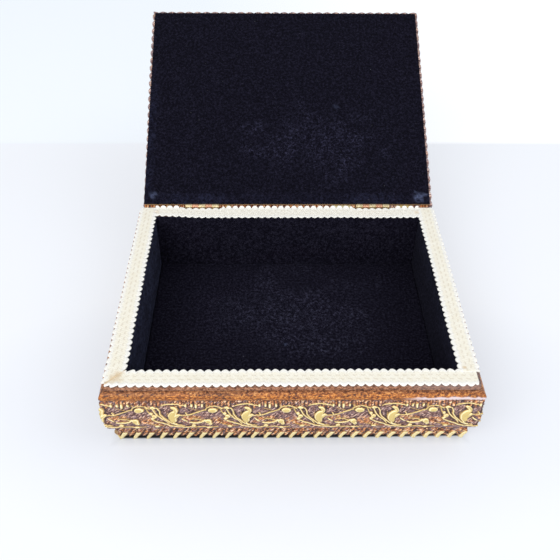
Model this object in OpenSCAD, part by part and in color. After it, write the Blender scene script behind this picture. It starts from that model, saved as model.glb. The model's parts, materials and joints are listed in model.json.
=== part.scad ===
// Hinged keepsake box: four upright picture-frame mouldings mitred at the corners, a velvet-lined
// inside with woven gimp round the rim, and a hinged lid with a rope edge and an inlaid top.
// Millimetres. The origin is the centre of the base's underside, +Z is up and the hinge is at +Y.

/* [Box body] */
// Width of the rim, over the outer edges of the gimp
rim_w = 244; // [200:1:300]
// Depth of the rim, front to back
rim_d = 196; // [160:1:240]
// Height of the body, from the table to the top of the gimp
body_h = 60; // [50:0.5:80]
// Thickness of the base panel
base_t = 6; // [3:0.5:8]
// Thickness of the felt under the base
felt_t = 1.5; // [0.5:0.5:2]
// Width that the moulding's rebate gives the base panel to sit in
rebate_w = 4.5; // [3:0.5:6]

/* [Moulding] */
// Thickness of the moulding behind the rim's edge
wall_t = 11.1; // [10:0.1:14]
// Radius of the round band under the rim
torus_r = 4; // [3:0.1:5]
// How far the frieze stands out past the rim's edge
frieze_out = 3.2; // [2:0.1:4]
// How far the frieze bulges at its middle
frieze_bulge = 0.8; // [0.4:0.1:1.2]
// Radius of the frieze's rounded lower edge
under_r = 4; // [3:0.5:5]
// Height of the rope band at the foot
rope_h = 13; // [9:0.5:15]

/* [Lining and gimp] */
// Width of the gimp, a woven trim
gimp_w = 12.7; // [11:0.1:14]
// Thickness of the gimp
gimp_t = 1.2; // [0.8:0.1:1.4]
// Thickness of a side liner, velvet over card
liner_t = 1.6; // [1:0.1:2]
// Thickness of the floor pad, velvet over card
floor_t = 2.5; // [2:0.1:4]

/* [Hinges] */
// Distance of each hinge's middle from the box's middle
hinge_x = 72; // [50:1:85]
// Length of a hinge
hinge_len = 28; // [20:1:36]
// Outer radius of the knuckles
knuckle_r = 1.8; // [1.6:0.1:2.2]
// Radius of the hinge pin
hinge_pin_r = 0.9; // [0.7:0.1:1]
// Thickness of a hinge leaf
leaf_t = 0.6; // [0.5:0.1:0.8]
// Width of a leaf, from the pin to its far edge
leaf_w = 12; // [10:0.5:12]
// Angle that the lid opens, from closed to resting back
lid_open = 150; // [90:1:150]

/* [Lid] */
// Width of the lid's panel
lid_w = 241.6; // [190:0.1:300]
// Thickness of the lid's panel
panel_t = 7; // [6:0.5:9]
// Thickness of the velvet that lines the lid
lining_t = 0.9; // [0.6:0.1:0.9]
// Thickness of the inlaid veneers
inlay_t = 1.2; // [0.8:0.1:1.5]
// How far the rope edge stands out from the lid's panel
rope_out = 3.2; // [2:0.1:4]

/* [Inlay] */
// Width of the plain border of the lid's top
border_w = 20; // [16:1:24]
// Width of each light line
line_w = 1.6; // [1:0.1:2]
// Wanted size of a chequer square
square = 7; // [6:0.5:8]
// Radius of the large star, to its points
star_r = 52; // [40:1:56]
// Radius of the small stars, to their points
small_r = 17; // [12:1:20]

/* [Hidden] */
$fn = 64;
slit = 0.02;                             // hairline gap between neighbouring veneers
over = 1;                                // how far a cutting shape runs past what it cuts
clear = 0.3;                             // space left between pieces that pass each other
rim_z = body_h - gimp_t;                 // top of the mouldings
foot_z = felt_t;                         // underside of the mouldings
floor_z = foot_z + base_t;               // top of the base panel
inside_w = rim_w - 2 * wall_t;           // between the mouldings' inner faces
inside_d = rim_d - 2 * wall_t;

step_out = 0.3;                          // the upright step between the gimp and the round band
step_h = 4.8;
torus_z = rim_z - step_h - torus_r;
frieze_top = torus_z - torus_r;
frieze_low = foot_z + rope_h + 1.5 + under_r;
neck_out = frieze_out - under_r;         // recess under the frieze
rope_in = 2.8;                           // the rope band's upper edge lies this far inside the rim's edge
rope_tuck = 1.8;                         // and its foot this much further in
rope_bulge = 1.6;
ledge = 0.2;                             // the neck lies this far behind the rope band's upper edge

hinge_z = rim_z - leaf_t + knuckle_r;    // the pin's height: the leaf is let in flush with the rim
hinge_y = rim_d / 2 + knuckle_r + 0.2;   // the knuckles clear the gimp's edge
knuckles = 5;
knuckle_len = hinge_len / knuckles;
knuckle_gap = 0.1;
pin_play = 0.05;                         // radial play of the lid's knuckles on the pin
leaf_gap = knuckle_r - leaf_t;           // from the pin's axis to a leaf's inner face
screw_dx = 8;                            // each screw's distance from its hinge's middle
screw_in = 7.5;                          // and from the pin
screw_r = 1;
screw_head_r = 2;
box_screw_len = 10;
lid_screw_len = 5;

lining_z = hinge_z + leaf_gap - lining_t;
panel_z = hinge_z + leaf_gap;            // the lid panel's underside, with the lid closed
inlay_z = panel_z + panel_t;
top_z = inlay_z + inlay_t;
lid_d = rim_d;
lid_rope_z = panel_z + 0.2;
lid_rope_h = top_z + 1.2 - lid_rope_z;
back_strip_t = 2.5;
back_strip_z = hinge_z + knuckle_r + 0.5;

pin_r = 0.7;                             // panel pins
corner_pin_len = 24;
corner_pin_in = 4.5;                     // from the rim's edge to a corner pin
corner_pin_sink = 1;
base_pin_len = 14;

HINGES = [-1, 1];
// Each side: turn from the back, length of the rim there, distance of the rim's edge from the middle
BACK = [0, rim_w, rim_d / 2];
LEFT = [90, rim_d, rim_w / 2];
FRONT = [180, rim_w, rim_d / 2];
RIGHT = [270, rim_d, rim_w / 2];
// The same for the lid's panel
LID_LEFT = [90, lid_d, lid_w / 2];
LID_FRONT = [180, lid_w, lid_d / 2];
LID_RIGHT = [270, lid_d, lid_w / 2];

// Inlay layout: half-sizes of each ring's outer edge
ring_1 = [lid_w / 2, lid_d / 2];
ring_2 = ring_1 - [border_w, border_w];
ring_3 = ring_2 - [line_w, line_w];
chequer_w = square;
ring_4 = ring_3 - [chequer_w, chequer_w];
ring_5 = ring_4 - [line_w, line_w];
small_x = ring_5[0] - small_r - 9;
small_y = ring_5[1] - small_r - 9;
SMALL_STARS = [for (sx = [-1, 1], sy = [-1, 1]) [sx * small_x, sy * small_y]];
star_turn = 22.5;                        // half the angle between two points of an eight-pointed star
star_foot = star_r * 0.3;                // radius of the heart, where the points start
shoulder_x = (star_r + star_foot) / 2;   // a point's widest place
shoulder_y = (star_r - star_foot) / 2 * tan(star_turn);
dart_r = star_r * 0.97;
small_heart = small_r * 0.42;

// ---- Shared shapes ----

// Turn a piece drawn on the back side, outward along +Y, to another side
module on_side(side) {
    rotate([0, 0, side[0]]) translate([0, side[2], 0]) children();
}

// Sweep an outline (outward, up) along a side, and mitre it at the corners
module mitred(side, reach) {
    half = side[1] / 2;
    intersection() {
        translate([-half - reach, 0, 0]) rotate([90, 0, 90])
            linear_extrude(2 * (half + reach)) children();
        translate([0, 0, -over])
            linear_extrude(body_h + top_z)
                polygon([[-half - reach, reach], [half + reach, reach],
                         [half - 2 * reach, -2 * reach], [-half + 2 * reach, -2 * reach]]);
    }
}

// Circle that bulges by a sagitta over a chord, with the chord's middle at the origin, and that
// goes a little way in behind the chord
module bulge(chord, sagitta, behind) {
    r = (chord * chord / 4 + sagitta * sagitta) / (2 * sagitta);
    intersection() {
        translate([sagitta - r, 0]) circle(r, $fn = 128);
        translate([-behind, -chord / 2]) square([behind + sagitta + over, chord]);
    }
}

// Put a piece of the lid, drawn closed, where it is when the lid rests open
module lid_at_rest() {
    translate([0, hinge_y, hinge_z]) rotate([-lid_open, 0, 0])
        translate([0, -hinge_y, -hinge_z]) children();
}

// Flat veneer in the lid's top
module veneer() {
    lid_at_rest() translate([0, 0, inlay_z]) linear_extrude(inlay_t) children();
}

// ---- Mouldings ----

// The rope band's section: round from its upper edge down to its tucked-in foot
module rope_band() {
    chord = norm([rope_h, rope_tuck]);
    r = (chord * chord / 4 + rope_bulge * rope_bulge) / (2 * rope_bulge);
    lean = atan(rope_tuck / rope_h);
    middle = [-rope_in - rope_tuck / 2, foot_z + rope_h / 2];
    intersection() {
        translate(middle - (r - rope_bulge) * [cos(lean), -sin(lean)]) circle(r, $fn = 128);
        translate([-rope_in - rope_tuck - over, foot_z])
            square([rope_tuck + rope_bulge + 2 * over, rope_h]);
    }
}

module moulding_outline() {
    difference() {
        union() {
            polygon([[-wall_t, foot_z], [-rope_in - rope_tuck - ledge, foot_z],
                     [-rope_in - ledge, foot_z + rope_h], [-rope_in - ledge, frieze_low - under_r],
                     [neck_out, frieze_low - under_r], [frieze_out, frieze_low],
                     [frieze_out, frieze_top], [step_out, torus_z], [step_out, rim_z],
                     [-wall_t, rim_z]]);
            translate([neck_out, frieze_low]) circle(under_r);
            translate([frieze_out, (frieze_low + frieze_top) / 2])
                bulge(frieze_top - frieze_low, frieze_bulge, over);
            translate([step_out, torus_z]) circle(torus_r);
            rope_band();
        }
        translate([-wall_t - over, foot_z - over]) square([rebate_w + over, base_t + over]);
    }
}

// One side's moulding, bored for its pins; children are what else is cut from it
module moulding(side) {
    color("peru") difference() {
        on_side(side) mitred(side, 10) moulding_outline();
        corner_pin_shapes();
        base_pin_shapes();
        children();
    }
}

module front_moulding() { moulding(FRONT); }
module left_moulding() { moulding(LEFT); }
module right_moulding() { moulding(RIGHT); }

module back_moulding() {
    moulding(BACK) {
        for (s = HINGES) translate([s * hinge_x, 0, 0]) leaf_pocket();
        box_screw_shapes(0);
    }
}

// Where the box's leaf is let into the rim
module leaf_pocket() {
    translate([-hinge_len / 2, hinge_y - leaf_w, rim_z - leaf_t])
        cube([hinge_len, leaf_w, leaf_t + over]);
}

// ---- Base and pins ----

module base_panel() {
    w = inside_w + 2 * rebate_w;
    d = inside_d + 2 * rebate_w;
    color("burlywood") difference() {
        translate([-w / 2, -d / 2, foot_z]) cube([w, d, base_t]);
        base_pin_shapes();
    }
}

module base_felt() {
    inset = rope_in + rope_tuck + 0.4;
    color("black") translate([-rim_w / 2 + inset, -rim_d / 2 + inset, 0])
        cube([rim_w - 2 * inset, rim_d - 2 * inset, felt_t]);
}

// Two pins through each mitre, driven from the ends of the box
module corner_pin_shapes() {
    start = rim_w / 2 + frieze_out - corner_pin_sink;
    for (sx = [-1, 1], sy = [-1, 1], z = [frieze_low + 4, frieze_top - 4])
        translate([sx * start, sy * (rim_d / 2 - corner_pin_in), z])
            rotate([0, -90 * sx, 0]) cylinder(r = pin_r, h = corner_pin_len);
}

// Pins up through the base panel into the mouldings
module base_pin_shapes() {
    edge_x = inside_w / 2 + rebate_w / 2;
    edge_y = inside_d / 2 + rebate_w / 2;
    for (s = [-1, 1]) {
        for (i = [-1, 0, 1]) translate([i * rim_w / 3, s * edge_y, foot_z])
            cylinder(r = pin_r, h = base_pin_len);
        for (i = [-1, 1]) translate([s * edge_x, i * rim_d / 4, foot_z])
            cylinder(r = pin_r, h = base_pin_len);
    }
}

module corner_pins() { color("silver") corner_pin_shapes(); }
module base_pins() { color("silver") base_pin_shapes(); }

// ---- Lining and gimp ----

// The back and front liners run the full width, and the side liners fit between them
module liner(side) {
    full = side[1] == rim_w;
    length = full ? inside_w : inside_d - 2 * liner_t;
    color("midnightblue") on_side(side)
        translate([-length / 2, -wall_t - liner_t, floor_z])
            cube([length, liner_t, rim_z - floor_z]);
}

module front_liner() { liner(FRONT); }
module back_liner() { liner(BACK); }
module left_liner() { liner(LEFT); }
module right_liner() { liner(RIGHT); }

module floor_pad() {
    w = inside_w - 2 * liner_t;
    d = inside_d - 2 * liner_t;
    color("black") translate([-w / 2, -d / 2, floor_z]) cube([w, d, floor_t]);
}

// The side strips run the full depth, and the front and back strips fit between them
module gimp(side) {
    full = side[1] == rim_d;
    length = full ? rim_d : rim_w - 2 * gimp_w;
    color("ivory") on_side(side)
        translate([-length / 2, -gimp_w, rim_z]) cube([length, gimp_w, gimp_t]);
}

module front_gimp() { gimp(FRONT); }
module back_gimp() { gimp(BACK); }
module left_gimp() { gimp(LEFT); }
module right_gimp() { gimp(RIGHT); }

// ---- Hinges ----

function knuckle_x(i) = (i - knuckles / 2) * knuckle_len;

// The leaf's own knuckles, numbered from the left: the box has the even ones, the lid the odd ones
module knuckle_row(first, r, gap) {
    for (i = [first:2:knuckles - 1])
        translate([knuckle_x(i) + gap, 0, 0])
            rotate([0, 90, 0]) cylinder(r = r, h = knuckle_len - 2 * gap);
}

// A leaf about the pin's axis, its plate below the axis and running towards -Y
module leaf(first, bore_r) {
    difference() {
        union() {
            difference() {
                translate([-hinge_len / 2 + clear / 2, -leaf_w, -knuckle_r])
                    cube([hinge_len - clear, leaf_w, leaf_t]);
                knuckle_row(1 - first, knuckle_r + clear, -clear / 2);
            }
            knuckle_row(first, knuckle_r, knuckle_gap / 2);
        }
        translate([-hinge_len, 0, 0]) rotate([0, 90, 0]) cylinder(r = bore_r, h = 2 * hinge_len);
    }
}

module hinge_box_leaf(s) {
    color("gold") difference() {
        translate([s * hinge_x, hinge_y, hinge_z]) leaf(0, hinge_pin_r);
        box_screw_shapes(0);
    }
}

module hinge_lid_leaf(s) {
    color("gold") lid_at_rest() difference() {
        translate([s * hinge_x, hinge_y, hinge_z]) mirror([0, 0, 1])
            leaf(1, hinge_pin_r + pin_play);
        lid_screw_shapes(0);
    }
}

module hinge_pin(s) {
    color("goldenrod") translate([s * hinge_x - hinge_len / 2, hinge_y, hinge_z])
        rotate([0, 90, 0]) cylinder(r = hinge_pin_r, h = hinge_len);
}

module left_hinge_box_leaf() { hinge_box_leaf(-1); }
module left_hinge_lid_leaf() { hinge_lid_leaf(-1); }
module left_hinge_pin() { hinge_pin(-1); }
module right_hinge_box_leaf() { hinge_box_leaf(1); }
module right_hinge_lid_leaf() { hinge_lid_leaf(1); }
module right_hinge_pin() { hinge_pin(1); }

// Countersunk screw with its head's top at the origin, pointing down
module screw(length, slot) {
    difference() {
        union() {
            translate([0, 0, -length]) cylinder(r = screw_r, h = length);
            translate([0, 0, screw_r - screw_head_r])
                cylinder(r1 = screw_r, r2 = screw_head_r, h = screw_head_r - screw_r);
        }
        if (slot > 0) translate([-screw_head_r, -slot / 2, -slot])
            cube([2 * screw_head_r, slot, 2 * slot]);
    }
}

module box_screw_shapes(slot) {
    for (s = HINGES, i = [-1, 1])
        translate([s * hinge_x + i * screw_dx, hinge_y - screw_in, rim_z])
            screw(box_screw_len, slot);
}

// The lid's screws, drawn closed, point up into the panel
module lid_screw_shapes(slot) {
    for (s = HINGES, i = [-1, 1])
        translate([s * hinge_x + i * screw_dx, hinge_y - screw_in, panel_z])
            mirror([0, 0, 1]) screw(lid_screw_len, slot);
}

module hinge_box_screws() { color("gold") box_screw_shapes(0.4); }
module hinge_lid_screws() { color("gold") lid_at_rest() lid_screw_shapes(0.4); }

// ---- Lid ----

module lid_panel() {
    color("saddlebrown") lid_at_rest() difference() {
        translate([-lid_w / 2, -lid_d / 2, panel_z]) cube([lid_w, lid_d, panel_t]);
        for (s = HINGES) translate([s * hinge_x - hinge_len / 2, hinge_y - leaf_w, panel_z - over])
            cube([hinge_len, leaf_w, leaf_t + over]);
        lid_screw_shapes(0);
    }
}

module lid_lining() {
    inset = 0.3;
    color("black") lid_at_rest()
        translate([-lid_w / 2 + inset, -lid_d / 2 + inset, lining_z])
            cube([lid_w - 2 * inset, lid_d - 2 * inset, lining_t]);
}

// Half-round rope moulding along the lid's front and ends: mitred in front, cut square at the back
module lid_rope(side) {
    color("goldenrod") lid_at_rest() intersection() {
        on_side(side) mitred(side, rope_out + over)
            translate([0, lid_rope_z + lid_rope_h / 2]) bulge(lid_rope_h, rope_out, 0);
        translate([-lid_w, -lid_d, 0]) cube([2 * lid_w, 1.5 * lid_d, 2 * top_z]);
    }
}

module lid_rope_front() { lid_rope(LID_FRONT); }
module lid_rope_left() { lid_rope(LID_LEFT); }
module lid_rope_right() { lid_rope(LID_RIGHT); }

// Plain strip along the hinge side: the open lid rests with it on the back moulding
module lid_back_strip() {
    color("sienna") lid_at_rest()
        translate([-lid_w / 2, lid_d / 2, back_strip_z])
            cube([lid_w, back_strip_t, top_z - back_strip_z]);
}

// ---- Inlay ----

// A ring of four strips, with hairline mitres between them
module mitred_ring(outer, inner) {
    for (sx = [-1, 1]) {
        polygon([[sx * outer[0], outer[1] - slit], [sx * outer[0], -outer[1] + slit],
                 [sx * inner[0], -inner[1] + slit], [sx * inner[0], inner[1] - slit]]);
        polygon([[outer[0] - slit, sx * outer[1]], [-outer[0] + slit, sx * outer[1]],
                 [-inner[0] + slit, sx * inner[1]], [inner[0] - slit, sx * inner[1]]]);
    }
}

module inlay_border() { color("sienna") veneer() mitred_ring(ring_1, ring_2 + [slit, slit]); }
module inlay_outer_line() { color("wheat") veneer() mitred_ring(ring_2, ring_3 + [slit, slit]); }
module inlay_inner_line() { color("wheat") veneer() mitred_ring(ring_4, ring_5 + [slit, slit]); }

// Chequer squares: along both long sides, corners included, and along both short sides between
long_count = 2 * round((2 * ring_3[0] / square - 1) / 2) + 1;
short_count = 2 * round((2 * ring_4[1] / square - 1) / 2) + 1;
module chequers(which) {
    long_w = 2 * ring_3[0] / long_count;
    short_w = 2 * ring_4[1] / short_count;
    for (s = [-1, 1]) {
        for (i = [which:2:long_count - 1])
            translate([-ring_3[0] + i * long_w + slit,
                       s > 0 ? ring_4[1] + slit : -ring_3[1] + slit])
                square([long_w - 2 * slit, chequer_w - 2 * slit]);
        for (i = [1 - which:2:short_count - 1])
            translate([s > 0 ? ring_4[0] + slit : -ring_3[0] + slit,
                       -ring_4[1] + i * short_w + slit])
                square([chequer_w - 2 * slit, short_w - 2 * slit]);
    }
}

module inlay_chequer_dark() { color("black") veneer() chequers(0); }
module inlay_chequer_light() { color("ivory") veneer() chequers(1); }

// One point of a star: a lozenge from its foot at the heart out to its tip at radius r
function lozenge(r, foot) =
    let (x = (r + foot) / 2, y = (r - foot) / 2 * tan(star_turn))
    [[foot, 0], [x, y], [r, 0], [x, -y]];

module star_of(points, first, step) {
    for (a = [first:step:359]) rotate(a) polygon(points);
}

function turned(p, a) = [p[0] * cos(a) - p[1] * sin(a), p[0] * sin(a) + p[1] * cos(a)];
function octagon(r) = [for (i = [0:7]) turned([r, 0], 45 * i)];

module star_points() {
    color("ivory") veneer() star_of(lozenge(star_r - slit, star_foot + slit), 0, 45);
}

// Bars between the points' inner edges, from the heart out to the points' shoulders
module star_bars() {
    low = turned([star_foot + 2 * slit, slit], -star_turn);
    out = turned([shoulder_x, shoulder_y + slit], -star_turn);
    color("black") veneer()
        star_of([low, out, [out[0], -out[1]], [low[0], -low[1]]], star_turn, 45);
}

// Darts that carry the bars on between the points
module star_darts() {
    foot = turned([shoulder_x, shoulder_y + slit], -star_turn) + [2 * slit, 0];
    color("indianred") veneer()
        star_of([foot, [dart_r - slit, 0], [foot[0], -foot[1]]], star_turn, 45);
}

module star_heart() {
    color("indianred") veneer() polygon(octagon(star_foot - slit));
}

module small_star_points() {
    color("ivory") veneer() for (p = SMALL_STARS)
        translate(p) star_of(lozenge(small_r - slit, small_heart + slit), 0, 45);
}

module small_star_hearts() {
    color("black") veneer() for (p = SMALL_STARS)
        translate(p) polygon(octagon(small_heart - slit));
}

// The large star's outline: its points and the darts between them
function star_outline() =
    [for (i = [0:7], p = [[star_r, 0], [shoulder_x, shoulder_y], turned([dart_r, 0], star_turn),
                          turned([shoulder_x, -shoulder_y], 2 * star_turn)]) turned(p, 45 * i)];

module inlay_field() {
    color("saddlebrown") veneer() difference() {
        square(2 * (ring_5 - [slit, slit]), center = true);
        polygon(star_outline());
        for (p = SMALL_STARS) translate(p) {
            star_of(lozenge(small_r, small_heart), 0, 45);
            polygon(octagon(small_heart + slit));
        }
    }
}

front_moulding();
back_moulding();
left_moulding();
right_moulding();
base_panel();
base_felt();
corner_pins();
base_pins();
front_liner();
back_liner();
left_liner();
right_liner();
floor_pad();
front_gimp();
back_gimp();
left_gimp();
right_gimp();
left_hinge_box_leaf();
left_hinge_lid_leaf();
left_hinge_pin();
right_hinge_box_leaf();
right_hinge_lid_leaf();
right_hinge_pin();
hinge_box_screws();
hinge_lid_screws();
lid_panel();
lid_lining();
lid_rope_front();
lid_rope_left();
lid_rope_right();
lid_back_strip();
inlay_border();
inlay_outer_line();
inlay_chequer_dark();
inlay_chequer_light();
inlay_inner_line();
inlay_field();
star_points();
star_bars();
star_darts();
star_heart();
small_star_points();
small_star_hearts();
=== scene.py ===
"""The looks of a hinged keepsake box made of gilt picture-frame moulding, lined with velvet.

Lengths are in millimetres until a mesh is made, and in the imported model's own frame: the origin is the
centre of the base's underside, +Z is up and the hinge is at +Y. The lid's pieces are drawn closed and then
turned to where they are at rest.
"""

import json
import math
from functools import cache

import bmesh
import bpy
import numpy as np
from mathutils import Matrix, Vector


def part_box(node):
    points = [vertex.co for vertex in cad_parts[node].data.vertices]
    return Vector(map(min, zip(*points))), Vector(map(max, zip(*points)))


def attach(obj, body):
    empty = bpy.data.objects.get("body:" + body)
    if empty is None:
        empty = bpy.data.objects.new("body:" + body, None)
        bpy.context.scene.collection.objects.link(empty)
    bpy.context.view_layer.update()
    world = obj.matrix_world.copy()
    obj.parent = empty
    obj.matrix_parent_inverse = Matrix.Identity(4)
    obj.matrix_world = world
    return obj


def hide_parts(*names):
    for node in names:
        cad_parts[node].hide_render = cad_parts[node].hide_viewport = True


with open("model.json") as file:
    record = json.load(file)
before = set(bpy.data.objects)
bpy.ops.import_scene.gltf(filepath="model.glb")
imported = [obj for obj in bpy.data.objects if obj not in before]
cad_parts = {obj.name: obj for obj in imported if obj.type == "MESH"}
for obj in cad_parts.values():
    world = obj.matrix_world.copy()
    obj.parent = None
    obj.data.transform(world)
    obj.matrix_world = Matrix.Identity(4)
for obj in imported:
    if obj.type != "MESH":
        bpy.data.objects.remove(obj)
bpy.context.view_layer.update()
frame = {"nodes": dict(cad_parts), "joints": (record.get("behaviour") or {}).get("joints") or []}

MM = 0.001


def box_mm(*names):
    """The lowest and highest corner of some CAD nodes together, in mm."""
    boxes = [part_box(name) for name in names]
    low = np.min([np.array(box[0]) for box in boxes], axis=0)
    high = np.max([np.array(box[1]) for box in boxes], axis=0)
    return low / MM, high / MM


# ---------------- sizes, from the frame

RIM_LOW, RIM_HIGH = box_mm("front_gimp", "back_gimp", "left_gimp", "right_gimp")
HALF_W, HALF_D = RIM_HIGH[0], RIM_HIGH[1]
BODY_H, RIM_Z = RIM_HIGH[2], RIM_LOW[2]
GIMP_W = HALF_W - box_mm("front_gimp")[1][0]
FOOT_Z = box_mm("front_moulding")[0][2]
WALL_T = HALF_W - box_mm("left_liner", "right_liner")[1][0]
LINER_LOW, LINER_HIGH = box_mm("left_liner")
LINER_T = LINER_HIGH[0] - LINER_LOW[0]
FLOOR_LOW, FLOOR_HIGH = box_mm("floor_pad")
LID_HALF_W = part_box("lid_panel")[1][0] / MM
HINGE_X = abs(sum(corner[0] for corner in box_mm("left_hinge_box_leaf")) / 2)

HINGE = frame["joints"][0]
AXIS_Y, AXIS_Z = HINGE["pos_m"][1] / MM, HINGE["pos_m"][2] / MM
LID_OPEN = math.radians(HINGE["range_deg"][1])

# The moulding's outline: distances out from the rim's edge, and heights.
REBATE_W = 4.5
REBATE_Z = box_mm("base_panel")[1][2]
TOP_EDGE = 2.5
STEP_OUT, STEP_H = 0.3, 4.8
TORUS_R = 4
TORUS_Z = RIM_Z - STEP_H - TORUS_R
FRIEZE_OUT, FRIEZE_BULGE = 3.2, 0.8
FRIEZE_TOP = TORUS_Z - math.sqrt(TORUS_R**2 - (FRIEZE_OUT - STEP_OUT)**2)
UNDER_R = 4
FRIEZE_LOW = FOOT_Z + 14.5 + UNDER_R
ROPE_TOP, ROPE_IN, ROPE_TUCK, ROPE_BULGE = FOOT_Z + 13, 2.8, 1.8, 1.6

# Each side of the box: the direction along it (to the right, seen from outside), the direction out,
# half its length at the rim's edge, and the rim's distance from the middle.
SIDES = {
    "front": ((1, 0), (0, -1), HALF_W, HALF_D),
    "right": ((0, 1), (1, 0), HALF_D, HALF_W),
    "back": ((-1, 0), (0, 1), HALF_W, HALF_D),
    "left": ((0, -1), (-1, 0), HALF_D, HALF_W),
}

CELL = 0.45  # spacing of the fine meshes, in mm


# ---------------- meshes


def new_object(name, vertices, faces, smooth=True):
    """A mesh object from vertices in mm. Its faces are turned outward."""
    mesh = bpy.data.meshes.new(name)
    mesh.from_pydata((np.asarray(vertices) * MM).tolist(), [], faces)
    work = bmesh.new()
    work.from_mesh(mesh)
    bmesh.ops.recalc_face_normals(work, faces=work.faces)
    work.to_mesh(mesh)
    work.free()
    mesh.polygons.foreach_set("use_smooth", [smooth] * len(mesh.polygons))
    piece = bpy.data.objects.new(name, mesh)
    bpy.context.scene.collection.objects.link(piece)
    return piece


def quads(rows, columns, wrap):
    """The faces of a grid of points; with wrap its last row joins its first."""
    i = np.arange(rows if wrap else rows - 1)[:, None]
    j = np.arange(columns - 1)[None, :]
    below = (i + 1) % rows
    corners = [i * columns + j, i * columns + j + 1, below * columns + j + 1, below * columns + j]
    return np.stack(corners, axis=-1).reshape(-1, 4).tolist()


def swept(name, points):
    """A closed piece from an array of rows round its section by columns along it."""
    rows, columns, _ = points.shape
    faces = quads(rows, columns, wrap=True)
    faces.append([i * columns for i in range(rows)])
    faces.append([i * columns + columns - 1 for i in range(rows)])
    return new_object(name, points.reshape(-1, 3), faces)


def slab(name, top, bottom):
    """A closed piece between two grids of points."""
    rows, columns, _ = top.shape
    count = rows * columns
    index = np.arange(count).reshape(rows, columns)
    rim = np.concatenate([index[0, :-1], index[:-1, -1], index[-1, :0:-1], index[:0:-1, 0]])
    following = np.roll(rim, -1)
    sides = np.stack([rim, following, following + count, rim + count], axis=-1).tolist()
    upper = quads(rows, columns, wrap=False)
    lower = [[i + count for i in face] for face in upper]
    vertices = np.concatenate([top.reshape(-1, 3), bottom.reshape(-1, 3)])
    return new_object(name, vertices, upper + lower + sides)


def paint(piece, name, *values):
    """Stores three values per vertex, for the piece's material to read."""
    colours = np.stack(np.broadcast_arrays(*values, 1.0), axis=-1)
    layer = piece.data.attributes.new(name, "FLOAT_COLOR", "POINT")
    layer.data.foreach_set("color", colours.astype(np.float32).ravel())


def fit(piece, material, body, node):
    """Gives a piece its material and the body it rides on, and hides the CAD node it stands for."""
    piece.data.materials.append(material)
    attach(piece, body)
    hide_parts(node)


def side_number(side):
    return list(SIDES).index(side)


def placed(side, along, reach, height):
    """Points from distances along a side of the box, out from the box's middle and up."""
    (ax, ay), (nx, ny) = SIDES[side][:2]
    return np.stack([ax * along + nx * reach, ay * along + ny * reach, height + 0 * along], axis=-1)


def lid_at_rest(points):
    """Turns points from where they are with the lid closed to where the open lid has them."""
    turn = -LID_OPEN
    y, z = points[..., 1] - AXIS_Y, points[..., 2] - AXIS_Z
    turned = points.copy()
    turned[..., 1] = AXIS_Y + y * math.cos(turn) - z * math.sin(turn)
    turned[..., 2] = AXIS_Z + y * math.sin(turn) + z * math.cos(turn)
    return turned


# ---------------- curves and noise


def eased(share):
    return share * share * (3 - 2 * share)


def smoothstep(low, high, x):
    return eased(np.clip((x - low) / (high - low), 0, 1))


def dome(reach):
    """The height of a half-round at a distance from its middle, as shares of its radius."""
    return np.sqrt(np.clip(1 - reach**2, 0, 1))


def rounded(distance, radius):
    """The rise of a rounded edge, from 0 at the edge to 1 at a radius from it."""
    return dome(1 - np.clip(distance / radius, 0, 1))


def blended(table, x, y, ease=lambda share: share):
    """A table's values at places between its points. It repeats past its ends."""
    i, j = np.floor(x).astype(int), np.floor(y).astype(int)
    fx, fy = ease(x - i), ease(y - j)
    rows, columns = table.shape
    i, j = i % rows, j % columns
    right, up = (i + 1) % rows, (j + 1) % columns
    near = table[i, j] * (1 - fx) + table[right, j] * fx
    far = table[i, up] * (1 - fx) + table[right, up] * fx
    return near * (1 - fy) + far * fy


def noise(u, v, size, seed):
    """Smooth random values from -1 to 1 over a plane, with bumps about size mm wide."""
    table = np.random.default_rng(seed).uniform(-1, 1, (64, 64))
    return blended(table, u / size, v / size, eased)


def blurred(grid, reach):
    """A grid averaged over neighbours up to reach cells away, along both of its axes."""
    for axis in (0, 1):
        grid = sum(np.roll(grid, k, axis) for k in range(-reach, reach + 1)) / (2 * reach + 1)
    return grid


def spaced(points, step):
    """Points along a polyline, no more than step apart, that keep its corners."""
    made = [points[0]]
    for start, end in zip(points[:-1], points[1:]):
        start, end = np.array(start, float), np.array(end, float)
        count = max(1, math.ceil(np.linalg.norm(end - start) / step))
        made += [tuple(start + (end - start) * k / count) for k in range(1, count + 1)]
    return made


def arc(centre, radius, start, end, step=CELL):
    """Points on an arc, from one angle to another in degrees."""
    count = max(2, math.ceil(abs(math.radians(end - start)) * radius / step))
    angles = np.radians(np.linspace(start, end, count + 1))
    return [(centre[0] + radius * math.cos(a), centre[1] + radius * math.sin(a)) for a in angles]


def curve(points, per_span=8):
    """A Catmull-Rom curve through points."""
    p = np.array(points, float)
    p = np.vstack([2 * p[0] - p[1], p, 2 * p[-1] - p[-2]])
    t = np.linspace(0, 1, per_span, endpoint=False)[:, None]
    spans = []
    for a, b, c, d in zip(p[:-3], p[1:-2], p[2:-1], p[3:]):
        spans.append(0.5 * (2 * b + (c - a) * t + (2 * a - 5 * b + 4 * c - d) * t**2
                            + (3 * b - a - 3 * c + d) * t**3))
    return np.vstack(spans + [p[-2:-1]])


# ---------------- the frieze's ornament

REPEAT = 48.4          # length of one repeat of the vine
TILE_TOP = 10          # the tile covers these depths below the rim
TILE_LOW = 48
TILE_CELL = 0.2
TICKS = 14             # ribs of the fringe under the round band, in one repeat
TICK_END = 1.4         # length of a rib's rounded end

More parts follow.
